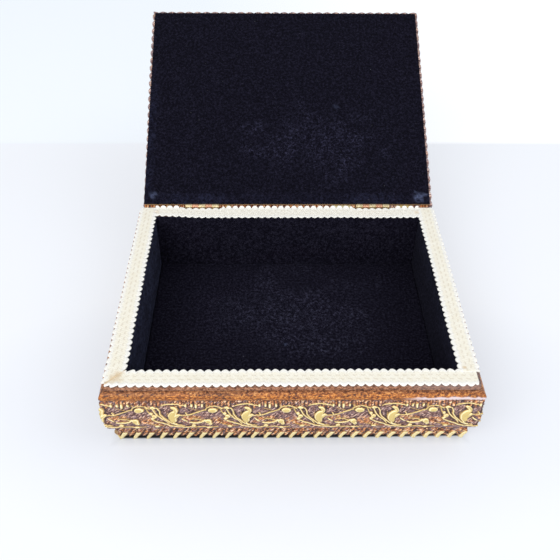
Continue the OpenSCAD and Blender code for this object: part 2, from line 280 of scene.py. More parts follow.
# Strokes: width, height, gold from 0 to 1, and points as (distance along, depth below the rim).
# Distances are from the middle of a bud.
STROKES = [
    # the bud's hood, and the two stems under it
    (1.2, 0.9, 1.0, [(-4.4, 21.4), (-4.0, 19.6), (-2.4, 18.2), (0, 17.3), (3.1, 17.6), (5.7, 18.9),
                     (7.4, 20.2)]),
    (1.1, 0.8, 0.9, [(5.2, 19.4), (6.2, 22.6), (7.8, 25.7), (9.4, 27.3), (10.2, 29.3)]),
    (1.4, 0.8, 1.0, [(7.8, 30.9), (10.4, 32.5), (13, 34), (16.7, 35.6), (19.8, 37.7), (26, 39.0),
                     (30.2, 39.6), (33.4, 39.2), (34.8, 38.0)]),
    # the two stems that run down to the big leaf, and the short one from the bud to them
    (1.3, 0.9, 1.0, [(9.0, 19.4), (9.9, 21.5), (11.5, 25.2), (14.1, 28.8), (17.2, 31.9), (19.3, 35.6)]),
    (1.3, 0.9, 1.0, [(10.4, 18.6), (12.4, 19.6), (13.7, 22.4), (13.9, 25.0), (15.6, 28.3), (18.2, 31.4),
                     (20.8, 34.5), (22.9, 36.1), (26, 37.1), (29.2, 37.7)]),
    (1.0, 0.6, 0.8, [(3.2, 20.0), (6.4, 19.2), (9.4, 18.4)]),
    # the arch over the big leaf
    (1.3, 0.9, 1.0, [(14.6, 17.3), (17.0, 16.2), (20.5, 15.5), (24.5, 15.4), (27.6, 16.2), (31.0, 17.4)]),
    # the big leaf: its body, tip, branch, tail and the line beside it
    (5.6, 1.5, 1.0, [(22.6, 32.4), (21.6, 29.0), (21.8, 26.0), (23.4, 23.4)]),
    (3.0, 1.5, 1.0, [(23.2, 24.4), (24.6, 21.8), (23.6, 19.4), (21.8, 18.4)]),
    (3.0, 1.2, 1.0, [(22.2, 30.4), (24.0, 28.0), (26.3, 25.6)]),
    (1.5, 1.0, 1.0, [(21.6, 32.6), (22.9, 35.4), (26, 36.9)]),
    (1.0, 0.7, 0.7, [(18.9, 22.6), (18.6, 25.6), (19.4, 28.4)]),
    # the vine to the next bud, with its barb and the fine stem above it
    (1.2, 0.9, 1.0, [(25.4, 26.6), (28.4, 26.3), (31.2, 26.2), (34.4, 25.2), (37.5, 23.6), (40.6, 22.2),
                     (42.7, 21.2), (44.2, 20.5)]),
    (1.2, 0.8, 1.0, [(31.6, 26.2), (31.2, 24.9), (30.4, 23.4)]),
    (0.9, 0.5, 0.8, [(33.0, 19.2), (36.0, 20.6), (39.6, 21.6)]),
    # the leaf and its stems between the big leaf and the flower
    (1.5, 0.8, 1.0, [(27.8, 29.6), (29.2, 31.2), (31.2, 32.8)]),
    (1.2, 0.6, 0.9, [(33.0, 30.6), (36.4, 30.2), (39.4, 30.8), (42.2, 32.4)]),
    (2.4, 1.0, 0.65, [(32.6, 33.4), (35.5, 34.3), (39.5, 33.8), (42.4, 32.6)]),
    (1.0, 0.5, 0.6, [(31.0, 28.0), (35.0, 28.4), (39.0, 29.2), (42.6, 30.4)]),
    # three fine strokes below the bud
    (0.9, 0.5, 0.6, [(2.6, 28.6), (0.6, 30.2), (-0.8, 31.6)]),
    (0.9, 0.5, 0.6, [(5.0, 29.2), (3.0, 31.2), (1.6, 32.8)]),
    (0.9, 0.5, 0.6, [(6.8, 30.4), (5.2, 32.2), (4.0, 33.8)]),
    # the lines along the bottom
    (1.2, 0.7, 0.9, [(33.0, 39.2), (37.0, 39.4), (41.7, 39.2), (44.8, 39.8), (48.0, 39.6), (52, 38.8)]),
    (1.5, 0.6, 0.5, [(4.4, 34.6), (8.0, 36.2), (12.0, 37.6), (16.6, 38.4)]),
]

# Rounded lumps: place, half-sizes, height and gold.
LUMPS = [
    (0.2, 21.5, 3.4, 2.4, 1.3, 1.0),     # the bud
    (9.6, 19.0, 2.2, 1.4, 1.0, 1.0),     # the leaf where the stems start
    (8.0, 24.6, 1.4, 1.5, 0.8, 0.9),     # leaves on the stem under the bud
    (9.8, 27.6, 1.9, 2.0, 1.0, 1.0),
    (8.4, 29.8, 1.8, 1.2, 0.8, 0.9),
    (45.2, 33.0, 2.3, 2.6, 1.2, 1.0),    # the flower
    (46.4, 35.4, 1.5, 1.8, 1.1, 1.0),
    (43.0, 31.8, 1.6, 1.1, 0.9, 1.0),
    (45.6, 39.9, 2.2, 1.1, 0.8, 1.0),    # knots on the lines along the bottom
    (10.9, 38.4, 2.0, 1.2, 0.9, 1.0),
    (35.2, 37.6, 1.7, 1.5, 0.9, 1.0),
    (3.6, 30.0, 4.6, 3.4, 0.3, 0.0),     # low swellings of the ground
    (34.0, 31.6, 5.0, 2.6, 0.4, 0.0),
    (16.0, 21.6, 2.4, 2.6, 0.2, 0.0),
]

# Places where copper shows: place, half-sizes and strength.
COPPER = [
    (4.0, 32.6, 6.0, 4.6, 0.9),
    (9.6, 35.6, 6.5, 2.4, 1.0),
    (34.6, 29.4, 7.5, 2.6, 0.9),
    (38.6, 33.4, 5.0, 2.6, 0.7),
    (17.5, 37.6, 5.0, 2.0, 0.7),
    (28.0, 34.0, 3.0, 1.6, 0.5),
]


def wrapped(distance, pitch=REPEAT):
    """A distance along something that repeats, brought to the nearest of its copies."""
    return (distance + pitch / 2) % pitch - pitch / 2


def stroke_reach(along, depth, points, width):
    """How far the tile's points are from a stroke's middle line, as a share of its half-width there."""
    line = curve(points)
    reach = np.full(along.shape, 9.0)
    count = len(line) - 1
    for k in range(count):
        (u0, d0), (u1, d1) = line[k], line[k + 1]
        du, dd = u1 - u0, d1 - d0
        pu, pd = wrapped(along - u0), depth - d0
        t = np.clip((pu * du + pd * dd) / (du * du + dd * dd + 1e-9), 0, 1)
        share = (k + t) / count
        half = width / 2 * (0.45 + 0.55 * np.sqrt(np.clip(4 * share * (1 - share), 0, 1)))
        reach = np.minimum(reach, np.hypot(pu - t * du, pd - t * dd) / half)
    return reach


def raise_tile(tile, **values):
    """Raises a tile's height, gold or copper to at least these values."""
    for key, value in values.items():
        tile[key] = np.maximum(tile[key], value)


def raise_shape(tile, reach, half, height, gold):
    """Adds a rounded shape to the tile, where reach is under 1. Its half-width is in mm."""
    covered = smoothstep(-0.45, 1.25, (1 - reach) * half) * gold
    raise_tile(tile, height=height * dome(reach), gold=covered)


def add_fringe(tile, along, depth):
    """The row of short ribs that hangs under the round band, its tips gilded over part of the repeat."""
    pitch = REPEAT / TICKS
    place = wrapped(along)
    index = np.round(place / pitch)
    across = place - index * pitch - 0.35 * np.sin(index * 2.6)
    length = 19.9 - 1.3 * np.abs(np.sin(index * 2.1))
    end = np.clip(depth - (length - TICK_END), 0, None) / TICK_END
    hidden = smoothstep(13.5, 15.0, place) * smoothstep(32.5, 31.0, place % REPEAT)
    gilded = smoothstep(-20, -17, place) * smoothstep(-3, -5, place)
    tips = smoothstep(14.0, 16.5, depth)
    rib = dome(np.hypot(across / (0.23 * pitch), end)) * smoothstep(10, 11.5, depth) * (1 - 0.7 * hidden)
    between = dome((np.abs(across) - pitch / 2) / 0.42) * smoothstep(18.4, 17.0, depth)
    height = np.maximum(0.9 * rib, 0.5 * between)
    raise_tile(tile, height=height, copper=height * (1 - tips * gilded),
               gold=0.75 * rib * tips * (0.2 + 0.8 * gilded) * (1 - hidden))
    raise_tile(tile, copper=0.85 * smoothstep(19, 16.5, depth) * (1 - 0.5 * hidden))


def vine_tile():
    """One repeat of the frieze's relief: its height in mm, and how much of it is gold and copper."""
    axes = np.arange(0, REPEAT, TILE_CELL), np.arange(TILE_TOP, TILE_LOW, TILE_CELL)
    along, depth = np.meshgrid(*axes, indexing="ij")
    tile = {key: np.zeros(along.shape) for key in ("height", "gold", "copper")}

    def oval(u, d, half_u, half_d):
        return np.hypot(wrapped(along - u) / half_u, (depth - d) / half_d)

    add_fringe(tile, along, depth)
    for *place, strength in COPPER:
        raise_tile(tile, copper=strength * smoothstep(1.2, 0.5, oval(*place)))
    for *place, height, gold in LUMPS:
        raise_shape(tile, oval(*place), min(place[2:]), height, gold)
    for width, height, gold, points in STROKES:
        raise_shape(tile, stroke_reach(along, depth, points, width), width / 2, height, gold)
    return tile


def sampled(grid, along, depth):
    """A tile's values at any places on the frieze."""
    row = np.clip((depth - TILE_TOP) / TILE_CELL, 0, grid.shape[1] - 1.001)
    return blended(grid, along % REPEAT / TILE_CELL, row)


# ---------------- the mouldings

ROPE_PITCH = 8.66
ROPE_CROWD = 3.03e-5    # how much closer the ribs get along a side
ROPE_START = 2.1        # where the middle of a rib is
ROPE_LEAN = math.tan(math.radians(24))
ROPE_RIB = 1.8          # half-width of a rib
ROPE_CORD = 0.9         # half-width of the thin cord between two ribs
ROPE_HANG = 1.4         # how far the ribs' ends hang below the foot
ALONG_CELL = 0.42       # spacing of a moulding's mesh along it
VINE_START = {"front": -4.4, "right": 11.0, "back": 3.0, "left": -9.0}  # where a bud's middle is
# Where each side's round band is burnished: a smoother finish with a painted highlight along its lower edge.
BURNISHED_HIGHLIGHT = {"front": (80, 130), "right": (-110, -60), "back": (-20, 30), "left": (60, 110)}
SHADED = {"front": 0, "right": 0.45, "back": 0.9, "left": 0.45}  # painted shade on each side's step and top
HINGE_SINK = 0.7        # depth of the recess under a hinge leaf


def moulding_outline():
    """Points round the moulding's section, as (out, height, kind); the visible face comes first."""
    torus_end = -math.degrees(math.acos((FRIEZE_OUT - STEP_OUT) / TORUS_R))
    under = arc((FRIEZE_OUT - UNDER_R, FRIEZE_LOW), UNDER_R, 0, -90)[1:]
    down_frieze = np.linspace(0, 1, round((FRIEZE_TOP - FRIEZE_LOW) / CELL))
    down_rope = np.linspace(0, 1, round((ROPE_TOP - FOOT_Z) / CELL))[1:]
    rebate = -WALL_T + REBATE_W
    parts = [
        ("top", spaced([(-WALL_T, RIM_Z), (-TOP_EDGE, RIM_Z)], TOP_EDGE)),
        ("step", spaced([(-TOP_EDGE, RIM_Z), (STEP_OUT, RIM_Z), (STEP_OUT, RIM_Z - STEP_H)], CELL)[1:]),
        ("torus", arc((STEP_OUT, TORUS_Z), TORUS_R, 90, torus_end)[1:]),
        ("frieze", [(FRIEZE_OUT + FRIEZE_BULGE * math.sin(math.pi * t),
                     FRIEZE_TOP + (FRIEZE_LOW - FRIEZE_TOP) * t) for t in down_frieze]),
        ("frieze", under),
        ("neck", spaced([under[-1], (-ROPE_IN, FRIEZE_LOW - UNDER_R), (-ROPE_IN, ROPE_TOP)], 0.8)[1:]),
        ("rope", [(-ROPE_IN - ROPE_TUCK * t + ROPE_BULGE * math.sin(math.pi * t) ** 0.6,
                   ROPE_TOP + (FOOT_Z - ROPE_TOP) * t) for t in down_rope]),
        ("wood", spaced([(-ROPE_IN - ROPE_TUCK, FOOT_Z), (rebate, FOOT_Z), (rebate, REBATE_Z),
                         (-WALL_T, REBATE_Z), (-WALL_T, RIM_Z)], 4)[1:-1]),
    ]
    return [(out, height, kind) for kind, points in parts for out, height in points]


def outline_normals(out, height):
    """Unit normals of a closed outline, pointing away from its material."""
    d_out = np.roll(out, -1) - np.roll(out, 1)
    d_height = np.roll(height, -1) - np.roll(height, 1)
    length = np.hypot(d_out, d_height) + 1e-9
    return -d_height / length, d_out / length


def rope_relief(along, height, seed):
    """Height, gold and copper of the leaning ribs at the box's foot."""
    middle = (ROPE_TOP + FOOT_Z) / 2
    shifted = along - (height - middle) * ROPE_LEAN - ROPE_START
    turns = shifted / ROPE_PITCH + ROPE_CROWD * shifted**2
    across = np.abs(turns - np.round(turns)) * ROPE_PITCH
    swell = 0.85 + 0.3 * np.sin(math.pi * np.clip((height - FOOT_Z) / (ROPE_TOP - FOOT_Z), 0, 1))
    reach = across / (ROPE_RIB * swell)
    rib = dome(reach)
    ends = smoothstep(ROPE_TOP + 0.3, ROPE_TOP - 1.2, height)
    beads = 0.55 * np.clip(noise(along, height * 1.2, 1.4, seed), -0.5, 1) * (1 - rib)
    cord = 0.6 * dome((across - ROPE_PITCH / 2) / ROPE_CORD) * ends
    toe = 0.8 * rib * smoothstep(FOOT_Z + 4, FOOT_Z, height)
    relief = 1.7 * rib * ends + toe + beads + cord * (1 - rib)
    gold = 0.82 * smoothstep(10.5, 8.0, height) * smoothstep(1.0, 0.55, reach)
    return relief, gold, 0.9 - 0.3 * rib


def moulding_relief(side, along, depth, height, kind, tile):
    """What stands out from a moulding's plain outline, and its gold, copper and torus shares."""
    seed = 3 + side_number(side)
    frieze, rope = kind == "frieze", kind == "rope"
    grain = 0.10 * noise(along, depth, 1.3, seed) + 0.08 * noise(along, depth, 2.7, seed + 40)
    scratch = noise(along * 0.25 - depth * 0.25, along + depth, 1.2, seed + 60)
    fade = smoothstep(TILE_LOW, TILE_LOW - 4, depth[frieze])
    vine = {key: sampled(grid, along[frieze] - VINE_START[side], depth[frieze]) for key, grid in tile.items()}
    rope_height, rope_gold, rope_copper = rope_relief(along[rope], height[rope], seed + 20)
    relief = grain * np.where(frieze | rope, 1.0, 0.3)
    gold, copper = np.zeros(along.shape), 0.4 * (kind == "neck")
    relief[frieze] += 0.16 * scratch[frieze]
    relief[frieze] += vine["height"] * fade
    relief[rope] += rope_height
    relief[(kind == "wood") | (kind == "top")] = 0
    gold[frieze], gold[rope] = vine["gold"] * fade, rope_gold
    copper[frieze], copper[rope] = vine["copper"], rope_copper
    return relief, np.clip([gold, copper, kind == "torus"], 0, 1)


def moulding_light_and_wear(side, along, height, kind, relief):
    """Painted shade, with some grime, in the hollows, under the strokes, under the trim, on the step, round
    the round band and at the foot; a painted highlight where the bands are burnished smooth; and the umber of
    the step.
    """
    # Painted shade, with some grime, in the hollows beside the raised relief, and a painted shadow under each
    # stroke.
    hollow = smoothstep(0.04, 0.32, blurred(relief, 3) - relief)
    stroke_shadow = smoothstep(0.15, 0.75, np.roll(relief, 2, axis=0) - relief)
    relief_shade = np.maximum(hollow, stroke_shadow)
    # A painted shadow along the foot, between the rope's ribs.
    foot = smoothstep(FOOT_Z + 1.7, FOOT_Z + 0.9, height) * smoothstep(1.3, 0.8, relief)
    # A painted shadow on the step under the trim's lobes, and painted shade in the step's lower corner, at
    # the round band's root and under the round band.
    below_trim = smoothstep(RIM_Z - 2.4, RIM_Z - 0.6, height)
    corner = smoothstep(RIM_Z - 3.9, RIM_Z - STEP_H, height)
    root = smoothstep(TORUS_Z + TORUS_R - 0.7, TORUS_Z + TORUS_R, height)
    under = smoothstep(FRIEZE_TOP + 1.1, FRIEZE_TOP, height)
    # The burnished span carries a painted highlight, a painted reflection, on the round band's lower edge.
    start, end = BURNISHED_HIGHLIGHT[side]
    patch = smoothstep(start - 10, start + 8, along) * smoothstep(end + 10, end - 6, along)
    ragged = height + 0.7 * noise(along, height, 2.2, 90)
    edge = 0.9 * smoothstep(TORUS_Z + 1.3, TORUS_Z - 0.1, ragged)
    dull = 0.55 * smoothstep(TORUS_Z + 2.6, TORUS_Z + TORUS_R, height)
    burnish_and_highlight = patch * (edge * (kind == "torus") + 0.1 * (kind == "step"))
    on_step = np.maximum(np.maximum(0.7 * below_trim, 0.4 * corner), 0.36 * patch)
    # On the back, the round band gets painted shade, where the open lid shades it.
    on_torus = np.maximum(np.maximum(0.3 * root, 0.7 * under), 0.6 if side == "back" else 0)
    by_kind = {
        "frieze": relief_shade,
        "rope": np.maximum(relief_shade, 1.15 * foot),
        "step": np.maximum(on_step, SHADED[side]),
        "top": SHADED[side],
        "torus": on_torus * (1 - 0.8 * burnish_and_highlight),
    }
    shade_and_grime = sum(share * (kind == name) for name, share in by_kind.items())
    umber = (kind == "step") + (kind == "top") + dull * (kind == "torus")
    return np.clip([shade_and_grime, burnish_and_highlight, umber], 0, 1)


def hinge_recess(side, along, out, height):
    """Lowers the back moulding's top where the hinge leaves are let in."""
    if side != "back":
        return height
    for name in ("left_hinge_box_leaf", "right_hinge_box_leaf"):
        low, high = box_mm(name)
        inside = (-along > low[0] - 0.1) & (-along < high[0] + 0.1) & (out > low[1] - HALF_D)
        height = np.where(inside & (height > RIM_Z - 0.3), RIM_Z - HINGE_SINK, height)
    return height


def moulding(side, tile):
    """One mitred length of the moulding, with its ornament in relief."""
    half, distance = SIDES[side][2:]
    out, height, kind = (np.array(values) for values in zip(*moulding_outline()))
    normal_out, normal_up = outline_normals(out, height)
    normal_out[kind == "rope"], normal_up[kind == "rope"] = 1, 0
    run = np.cumsum(np.hypot(np.diff(out, prepend=out[0]), np.diff(height, prepend=height[0])))
    depth = BODY_H - FRIEZE_TOP + run - run[np.argmax(kind == "frieze")]
    share = np.linspace(-1, 1, round(2 * half / ALONG_CELL) + 1)
    row, q = np.meshgrid(np.arange(len(out)), share, indexing="ij")
    along = q * (half + out[row])
    relief, finish = moulding_relief(side, along, depth[row], height[row], kind[row], tile)
    painted_light_and_wear = moulding_light_and_wear(side, along, height[row], kind[row], relief)
    face_out, face_z = out[row] + relief * normal_out[row], height[row] + relief * normal_up[row]
    hang = smoothstep(FOOT_Z + 1.5, FOOT_Z, face_z) * smoothstep(0.5, 1.4, relief) * (kind[row] == "rope")
    face_z = hinge_recess(side, along, face_out, np.maximum(face_z, FOOT_Z) - ROPE_HANG * hang)
    points = placed(side, q * (half + face_out), distance + face_out, face_z)
    piece = swept(side + "_gilt_moulding", points)
    paint(piece, "finish", *finish)
    paint(piece, "painted_light_and_wear", *painted_light_and_wear)
    paint(piece, "run", along, depth[row], distance)
    fit(piece, gilt_material(), "box", side + "_moulding")
    piece.data.materials.append(core_wood_material())
    bare = (kind == "wood") & (np.roll(kind, -1) == "wood")
    index = np.append(np.repeat(bare, len(share) - 1), [True, True])
    piece.data.polygons.foreach_set("material_index", index.astype(np.int32))


# ---------------- the gimp

LOBE_PITCH = 5.5
LOBE_DEPTH = 2.0
GIMP_TOP = BODY_H - RIM_Z
GIMP_ROWS = 37         # rows of points across the trim's top
GIMP_CELL = 0.36       # spacing of its mesh along it
GIMP_EDGE_R = 1.1
GIMP_LOOP_IN = 1.6     # how far in from the trim's width its inner notches lie
PLAIT_PITCH = 1.9

# Each strip: how far its outer notches lie past the rim's edge, and how its low and high ends are cut,
# as (mitred, distance of the end from the middle at the rim's edge).
STRIPS = {
    "front": (-0.1, (True, HALF_W), (False, HALF_W - 1.2)),
    "right": (0.1, (False, HALF_D - GIMP_W + 2.2), (False, HALF_D - 0.3)),
    "back": (-0.4, (False, HALF_W - GIMP_W + 1.6), (False, HALF_W - GIMP_W + 1.6)),
    "left": (0.2, (False, HALF_D - 0.3), (True, HALF_D)),
}
CORNER_R = {"front": (3.5, 2.5), "right": (0.1, 2), "back": (0.1, 0.1), "left": (2, 3.5)}

# Glue stains: place, radius and strength.
GLUE = [(-HALF_W + 7, -HALF_D + 6, 6.5, 1.0), (HALF_W - 8, -HALF_D + GIMP_W + 1, 2.2, 1.2),
        (-HALF_W + GIMP_W, HALF_D - 6, 4.0, 0.6), (HALF_W - GIMP_W - 1, HALF_D - 6, 3.5, 0.6)]

# The rows of stitches: place across the trim, start along it, and how much of the row is thread.
STITCHES = [(0.38, 1.2, 0.25), (0.62, 3.6, 0.1)]


def lobes(along, phase):
    """The scalloped edge, from 0 in a notch to 1 at a lobe's tip."""
    return np.abs(np.cos(math.pi * (along + phase) / LOBE_PITCH)) ** 0.85


def strip_along(side, t, inward):
    """The distance along a strip at a share t of its length; a mitred end slants over its last part."""
    _, (low_mitred, low), (high_mitred, high) = STRIPS[side]
    along = -low + (low + high) * t
    near_low = np.clip(1 - (along + low) / (2.2 * GIMP_W), 0, 1)
    near_high = np.clip(1 - (high - along) / (2.2 * GIMP_W), 0, 1)
    return along + inward * near_low * low_mitred - inward * near_high * high_mitred


def gimp_height(along, across, seed, edge_out, edge_in):
    """The trim's top face: puffed edge loops and a plaited body."""
    width = edge_in - edge_out
    from_edge = np.minimum(across, 1 - across) * width
    loops = np.abs(np.cos(math.pi * along / LOBE_PITCH)) * smoothstep(3.4, 1.2, from_edge)
    plait = np.sin(2 * math.pi * (along / PLAIT_PITCH + 1.6 * np.abs((across * 3) % 1 - 0.5)))
    height = (GIMP_TOP * (0.42 + 0.4 * rounded(from_edge, GIMP_EDGE_R)) + 0.22 * loops
              + 0.075 * plait * smoothstep(1.4, 2.4, from_edge))
    return height + 0.05 * noise(along, across * width, 1.1, seed)


def gimp_stain(x, y):
    """How much glue has stained the trim."""
    stain = np.zeros(x.shape)
    blotch = 1 + 0.5 * noise(x, y, 2.2, 41)
    for at_x, at_y, radius, strength in GLUE:
        reach = np.hypot(x - at_x, y - at_y) / (radius * blotch)
        stain = np.maximum(stain, strength * smoothstep(1.0, 0.2, reach))
    seam = np.abs((x + HALF_W) - (y + HALF_D)) / 1.4
    on_seam = smoothstep(1, 0.1, seam + 0.5 * noise(x, y, 1.5, 43)) * (x + HALF_W < GIMP_W + 1) * (y < 0)
    return np.clip(np.maximum(stain * 0.75, on_seam), 0, 1)


def rounded_end(along, end, radius):
    """How far a strip's outer edge draws in as it rounds the corner at its end."""
    past = np.clip(along - (end - radius), 0, radius)
    return radius - np.sqrt(radius**2 - past**2)


def beside_hinge(along):
    """1 where a hinge leaf lies beside the back strip, and 0 away from it."""
    return smoothstep(18.5, 16.5, np.abs(np.abs(along) - HINGE_X))


def gimp_edges(side, along, seed):
    """The outer and inner edges of a strip, as distances in from the rim's edge."""
    notch_out, low_cut, high_cut = STRIPS[side]
    low_radius, high_radius = CORNER_R[side]
    wander = 0.3 * noise(along, 0 * along, 23, seed)
    outer = -notch_out - LOBE_DEPTH * lobes(along, 0) + wander
    inner = GIMP_W - GIMP_LOOP_IN + LOBE_DEPTH * lobes(along, 0.4) + wander
    if side == "back":
        outer = outer + 1.5 * beside_hinge(along)
        inner = inner + 1.0 - 2.2 * smoothstep(70, HALF_W - GIMP_W, along)
    outer = outer + rounded_end(along, high_cut[1], high_radius) + rounded_end(-along, low_cut[1], low_radius)
    return outer, inner


def gimp_marks(across, along):
    """The two rows of stitches and the small eyes beside the edge loops."""
    width = GIMP_W + 0.8
    thread = np.zeros(along.shape)
    for place, phase, share in STITCHES:
        dash = np.cos(2 * math.pi * (along + phase) / LOBE_PITCH) > -share
        thread = np.maximum(thread, smoothstep(0.75, 0.2, np.abs(across - place) * width) * dash)
    eye_across = (np.abs(across - 0.5) - 0.33) * width
    eye = smoothstep(1.0, 0.3, np.hypot(eye_across, wrapped(along + LOBE_PITCH / 2, LOBE_PITCH)))
    return np.clip(0.6 * thread + 0.55 * eye, 0, 1)


def gimp(side):
    """One strip of the scalloped trim."""
    distance = SIDES[side][3]
    seed = 60 + side_number(side)
    across = np.append(np.linspace(0, 1, GIMP_ROWS), [0.97, 0.5, 0.03])
    span = STRIPS[side][1][1] + STRIPS[side][2][1]
    row, t = np.meshgrid(np.arange(len(across)), np.linspace(0, 1, round(span / GIMP_CELL)), indexing="ij")
    under, across = row >= GIMP_ROWS, across[row]
    outer, inner = gimp_edges(side, strip_along(side, t, GIMP_W * across), seed)
    inward = outer + (inner - outer) * across
    along = strip_along(side, t, inward)
    top = gimp_height(along, across, seed, outer, inner)
    lift = 0.22 if side in ("left", "right") else 0.0
    rise = np.where(under, 0.06 * (across == 0.5), np.minimum(top + lift, GIMP_TOP + 0.2))
    if side == "back":
        hinge = beside_hinge(along)
        bend = (1.1 - 0.7 * hinge) * smoothstep(0.3, -1.0 + 0.5 * hinge, inward)
    else:
        bend = -0.5 * smoothstep(0, 2.4, -inward)
    points = placed(side, along, distance - inward, RIM_Z + rise + bend)
    piece = swept(side + "_gimp_trim", points)
    # The back strip is painted whiter, with less cream, as painted light.
    body = smoothstep(0.36, 0.24, np.abs(across - 0.5)) * (0.6 if side == "back" else 1.0)
    paint(piece, "trim", gimp_marks(across, along) * ~under, gimp_stain(points[..., 0], points[..., 1]), body)
    fit(piece, gimp_material(), "box", side + "_gimp")


# ---------------- velvet

VELVET_CELL = 1.5
LID_VELVET_T = 0.9
LID_VELVET_TURN = 0.8  # how far the lid's velvet turns over at its left and right
LID_VELVET_IN = 0.3    # how far it stays in at its front and back
LID_CARD_Z = AXIS_Z + 1.2


def nap(a, b, seed):
    """Unevenness of velvet over card, in mm."""
    return 0.5 * noise(a, b, 31, seed) + 0.25 * noise(a, b, 9, seed + 1) + 0.1 * noise(a, b, 3.1, seed + 2)


def velvet_panel(name, size, thickness, place, marks, roll, uneven, seed):
    """Velvet over a card of some size, its edges rolled over. place puts (a, b, height) in the frame, and
    marks gives the crushed, worn and bruised shares at (a, b); on the walls the worn share also paints light."""
    ends = np.array([roll * (1 - math.cos(k * math.pi / 8)) for k in range(1, 4)])
    half_a, half_b = size[0] / 2, size[1] / 2
    axes = []
    for half, full in ((half_a, size[0]), (half_b, size[1])):
        axis = np.linspace(-half, half, round(full / VELVET_CELL) + 1)
        axes.append(np.unique(np.concatenate([axis, axis[0] + ends, axis[-1] - ends])))
    a, b = np.meshgrid(*axes, indexing="ij")
    edge = np.minimum(half_a - np.abs(a), half_b - np.abs(b))
    waves = uneven * nap(a, b, seed) * smoothstep(0, 4 * roll, edge)
    high = thickness * (0.45 + 0.55 * rounded(edge, roll)) + waves
    piece = slab(name, place(a, b, high), place(a, b, 0 * a))
    shares = np.clip(np.broadcast_arrays(*marks(a, b)), 0, 1)
    paint(piece, "nap", *np.concatenate([shares, shares], axis=1))
    return piece


def blot(a, b, at, half, ragged, seed):
    """A soft mark with a ragged edge, from 1 at its middle to 0."""
    reach = np.hypot((a - at[0]) / half[0], (b - at[1]) / half[1])
    return smoothstep(1.25, 0.35, reach + ragged * noise(a, b, 0.35 * min(half) + 1, seed))


def wall_marks(side):
    """The left wall is painted lighter, as painted light where the light falls on it, and the right wall is
    painted lighter near its top.
    """
    def marks(a, b):
        # Painted light on the left wall; the right wall's share grows lighter towards its top.
        rub_and_light = {"left": 1.0, "right": 0.22 * smoothstep(0, 20, b)}.get(side, 0)
        return 0.12, rub_and_light * (0.8 + 0.4 * noise(a, b, 7, 71)), 0

    return marks


def floor_marks(a, b):
    """A crushed patch, a rubbed back edge and one bruise."""
    crushed = 0.75 * blot(a, b, at=(12, 18), half=(60, 52), ragged=0.5, seed=73) + 0.1
    back_edge = smoothstep(2.4, 0.6, FLOOR_HIGH[1] - b) * smoothstep(-0.2, 0.5, noise(a, b, 9, 75))
    return crushed, 0.25 * back_edge, blot(a, b, at=(-3, -14), half=(1.6, 1.2), ragged=0, seed=76)


def lid_marks(a, b):
    """Crushed nap right of the middle, worn strips on two edges, and bruises near the hinge corners."""
    crushed = blot(a, b, at=(28, 38), half=(58, 32), ragged=0.6, seed=77) + 0.08
    left = smoothstep(-112.5, -116.5, a) * smoothstep(-60, -10, b) * smoothstep(90, 84, b)
    by_left_hinge = blot(a, b, at=(-75, 93), half=(32, 20), ragged=0, seed=78)
    by_right_hinge = blot(a, b, at=(73, 93), half=(24, 20), ragged=0, seed=79)
    hinge_edge = smoothstep(86.5, 89.5, b) * (0.35 + 0.65 * (by_left_hinge + by_right_hinge))
    broken = smoothstep(-0.5, 0.3, noise(a, b, 3.4, 82))
    worn_and_lit = 0.42 * np.maximum(0.8 * left, hinge_edge) * (0.3 + 0.7 * broken)
    bruised = (0.7 * blot(a, b, at=(-114.5, 89.5), half=(3.4, 3.0), ragged=0.5, seed=83)
               + blot(a, b, at=(113, 90.4), half=(5.5, 4.4), ragged=0.6, seed=84)
               + 0.35 * blot(a, b, at=(45, 3), half=(3.4, 2.2), ragged=0.5, seed=85))
    return crushed, worn_and_lit, bruised


def wall_liner(side):
    """The velvet on one wall, from the floor pad's level up to the gimp."""
    low, high = box_mm(side + "_liner")
    runs_on, faces_on = (0, 1) if side in ("front", "back") else (1, 0)
    length = (high - low)[runs_on]
    middle_z, tall = (low[2] + high[2]) / 2, high[2] - low[2]
    outer = max(abs(low[faces_on]), abs(high[faces_on]))

    def place(a, b, depth):
        return placed(side, a, outer - depth, middle_z + b)

    piece = velvet_panel(side + "_velvet", (length, tall), LINER_T, place, wall_marks(side),
                         roll=0.9, uneven=0.18, seed=80 + 5 * side_number(side))
    fit(piece, velvet_material("velvet_box", 0.85), "box", side + "_liner")


def floor_velvet():
    """The velvet pad on the bottom."""
    size = (FLOOR_HIGH - FLOOR_LOW)[:2]
    middle = (FLOOR_HIGH + FLOOR_LOW)[:2] / 2
    thick = FLOOR_HIGH[2] - FLOOR_LOW[2]

    def place(a, b, rise):
        return np.stack([middle[0] + a, middle[1] + b, FLOOR_LOW[2] + rise], -1)

    piece = velvet_panel("floor_velvet_pad", size, thick, place, floor_marks, roll=2.0, uneven=0.4, seed=110)
    fit(piece, velvet_material("velvet_box", 0.85), "box", "floor_pad")


def lid_velvet():
    """The velvet inside the lid."""
    low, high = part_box("lid_lining")
    span_x = (high - low)[0] / MM + 2 * LID_VELVET_TURN
    inset = HALF_D - LID_VELVET_IN

    def place(a, b, rise):
        return lid_at_rest(np.stack([a, b, LID_CARD_Z - rise], -1))

    piece = velvet_panel("lid_velvet", (span_x, 2 * inset), LID_VELVET_T, place, lid_marks,
                         roll=0.8, uneven=0.16, seed=120)
    # The lid's velvet is a darker copy of the box's: painted shade.
    fit(piece, velvet_material("velvet_lid", 0.52), "lid", "lid_lining")


# ---------------- the lid's edge

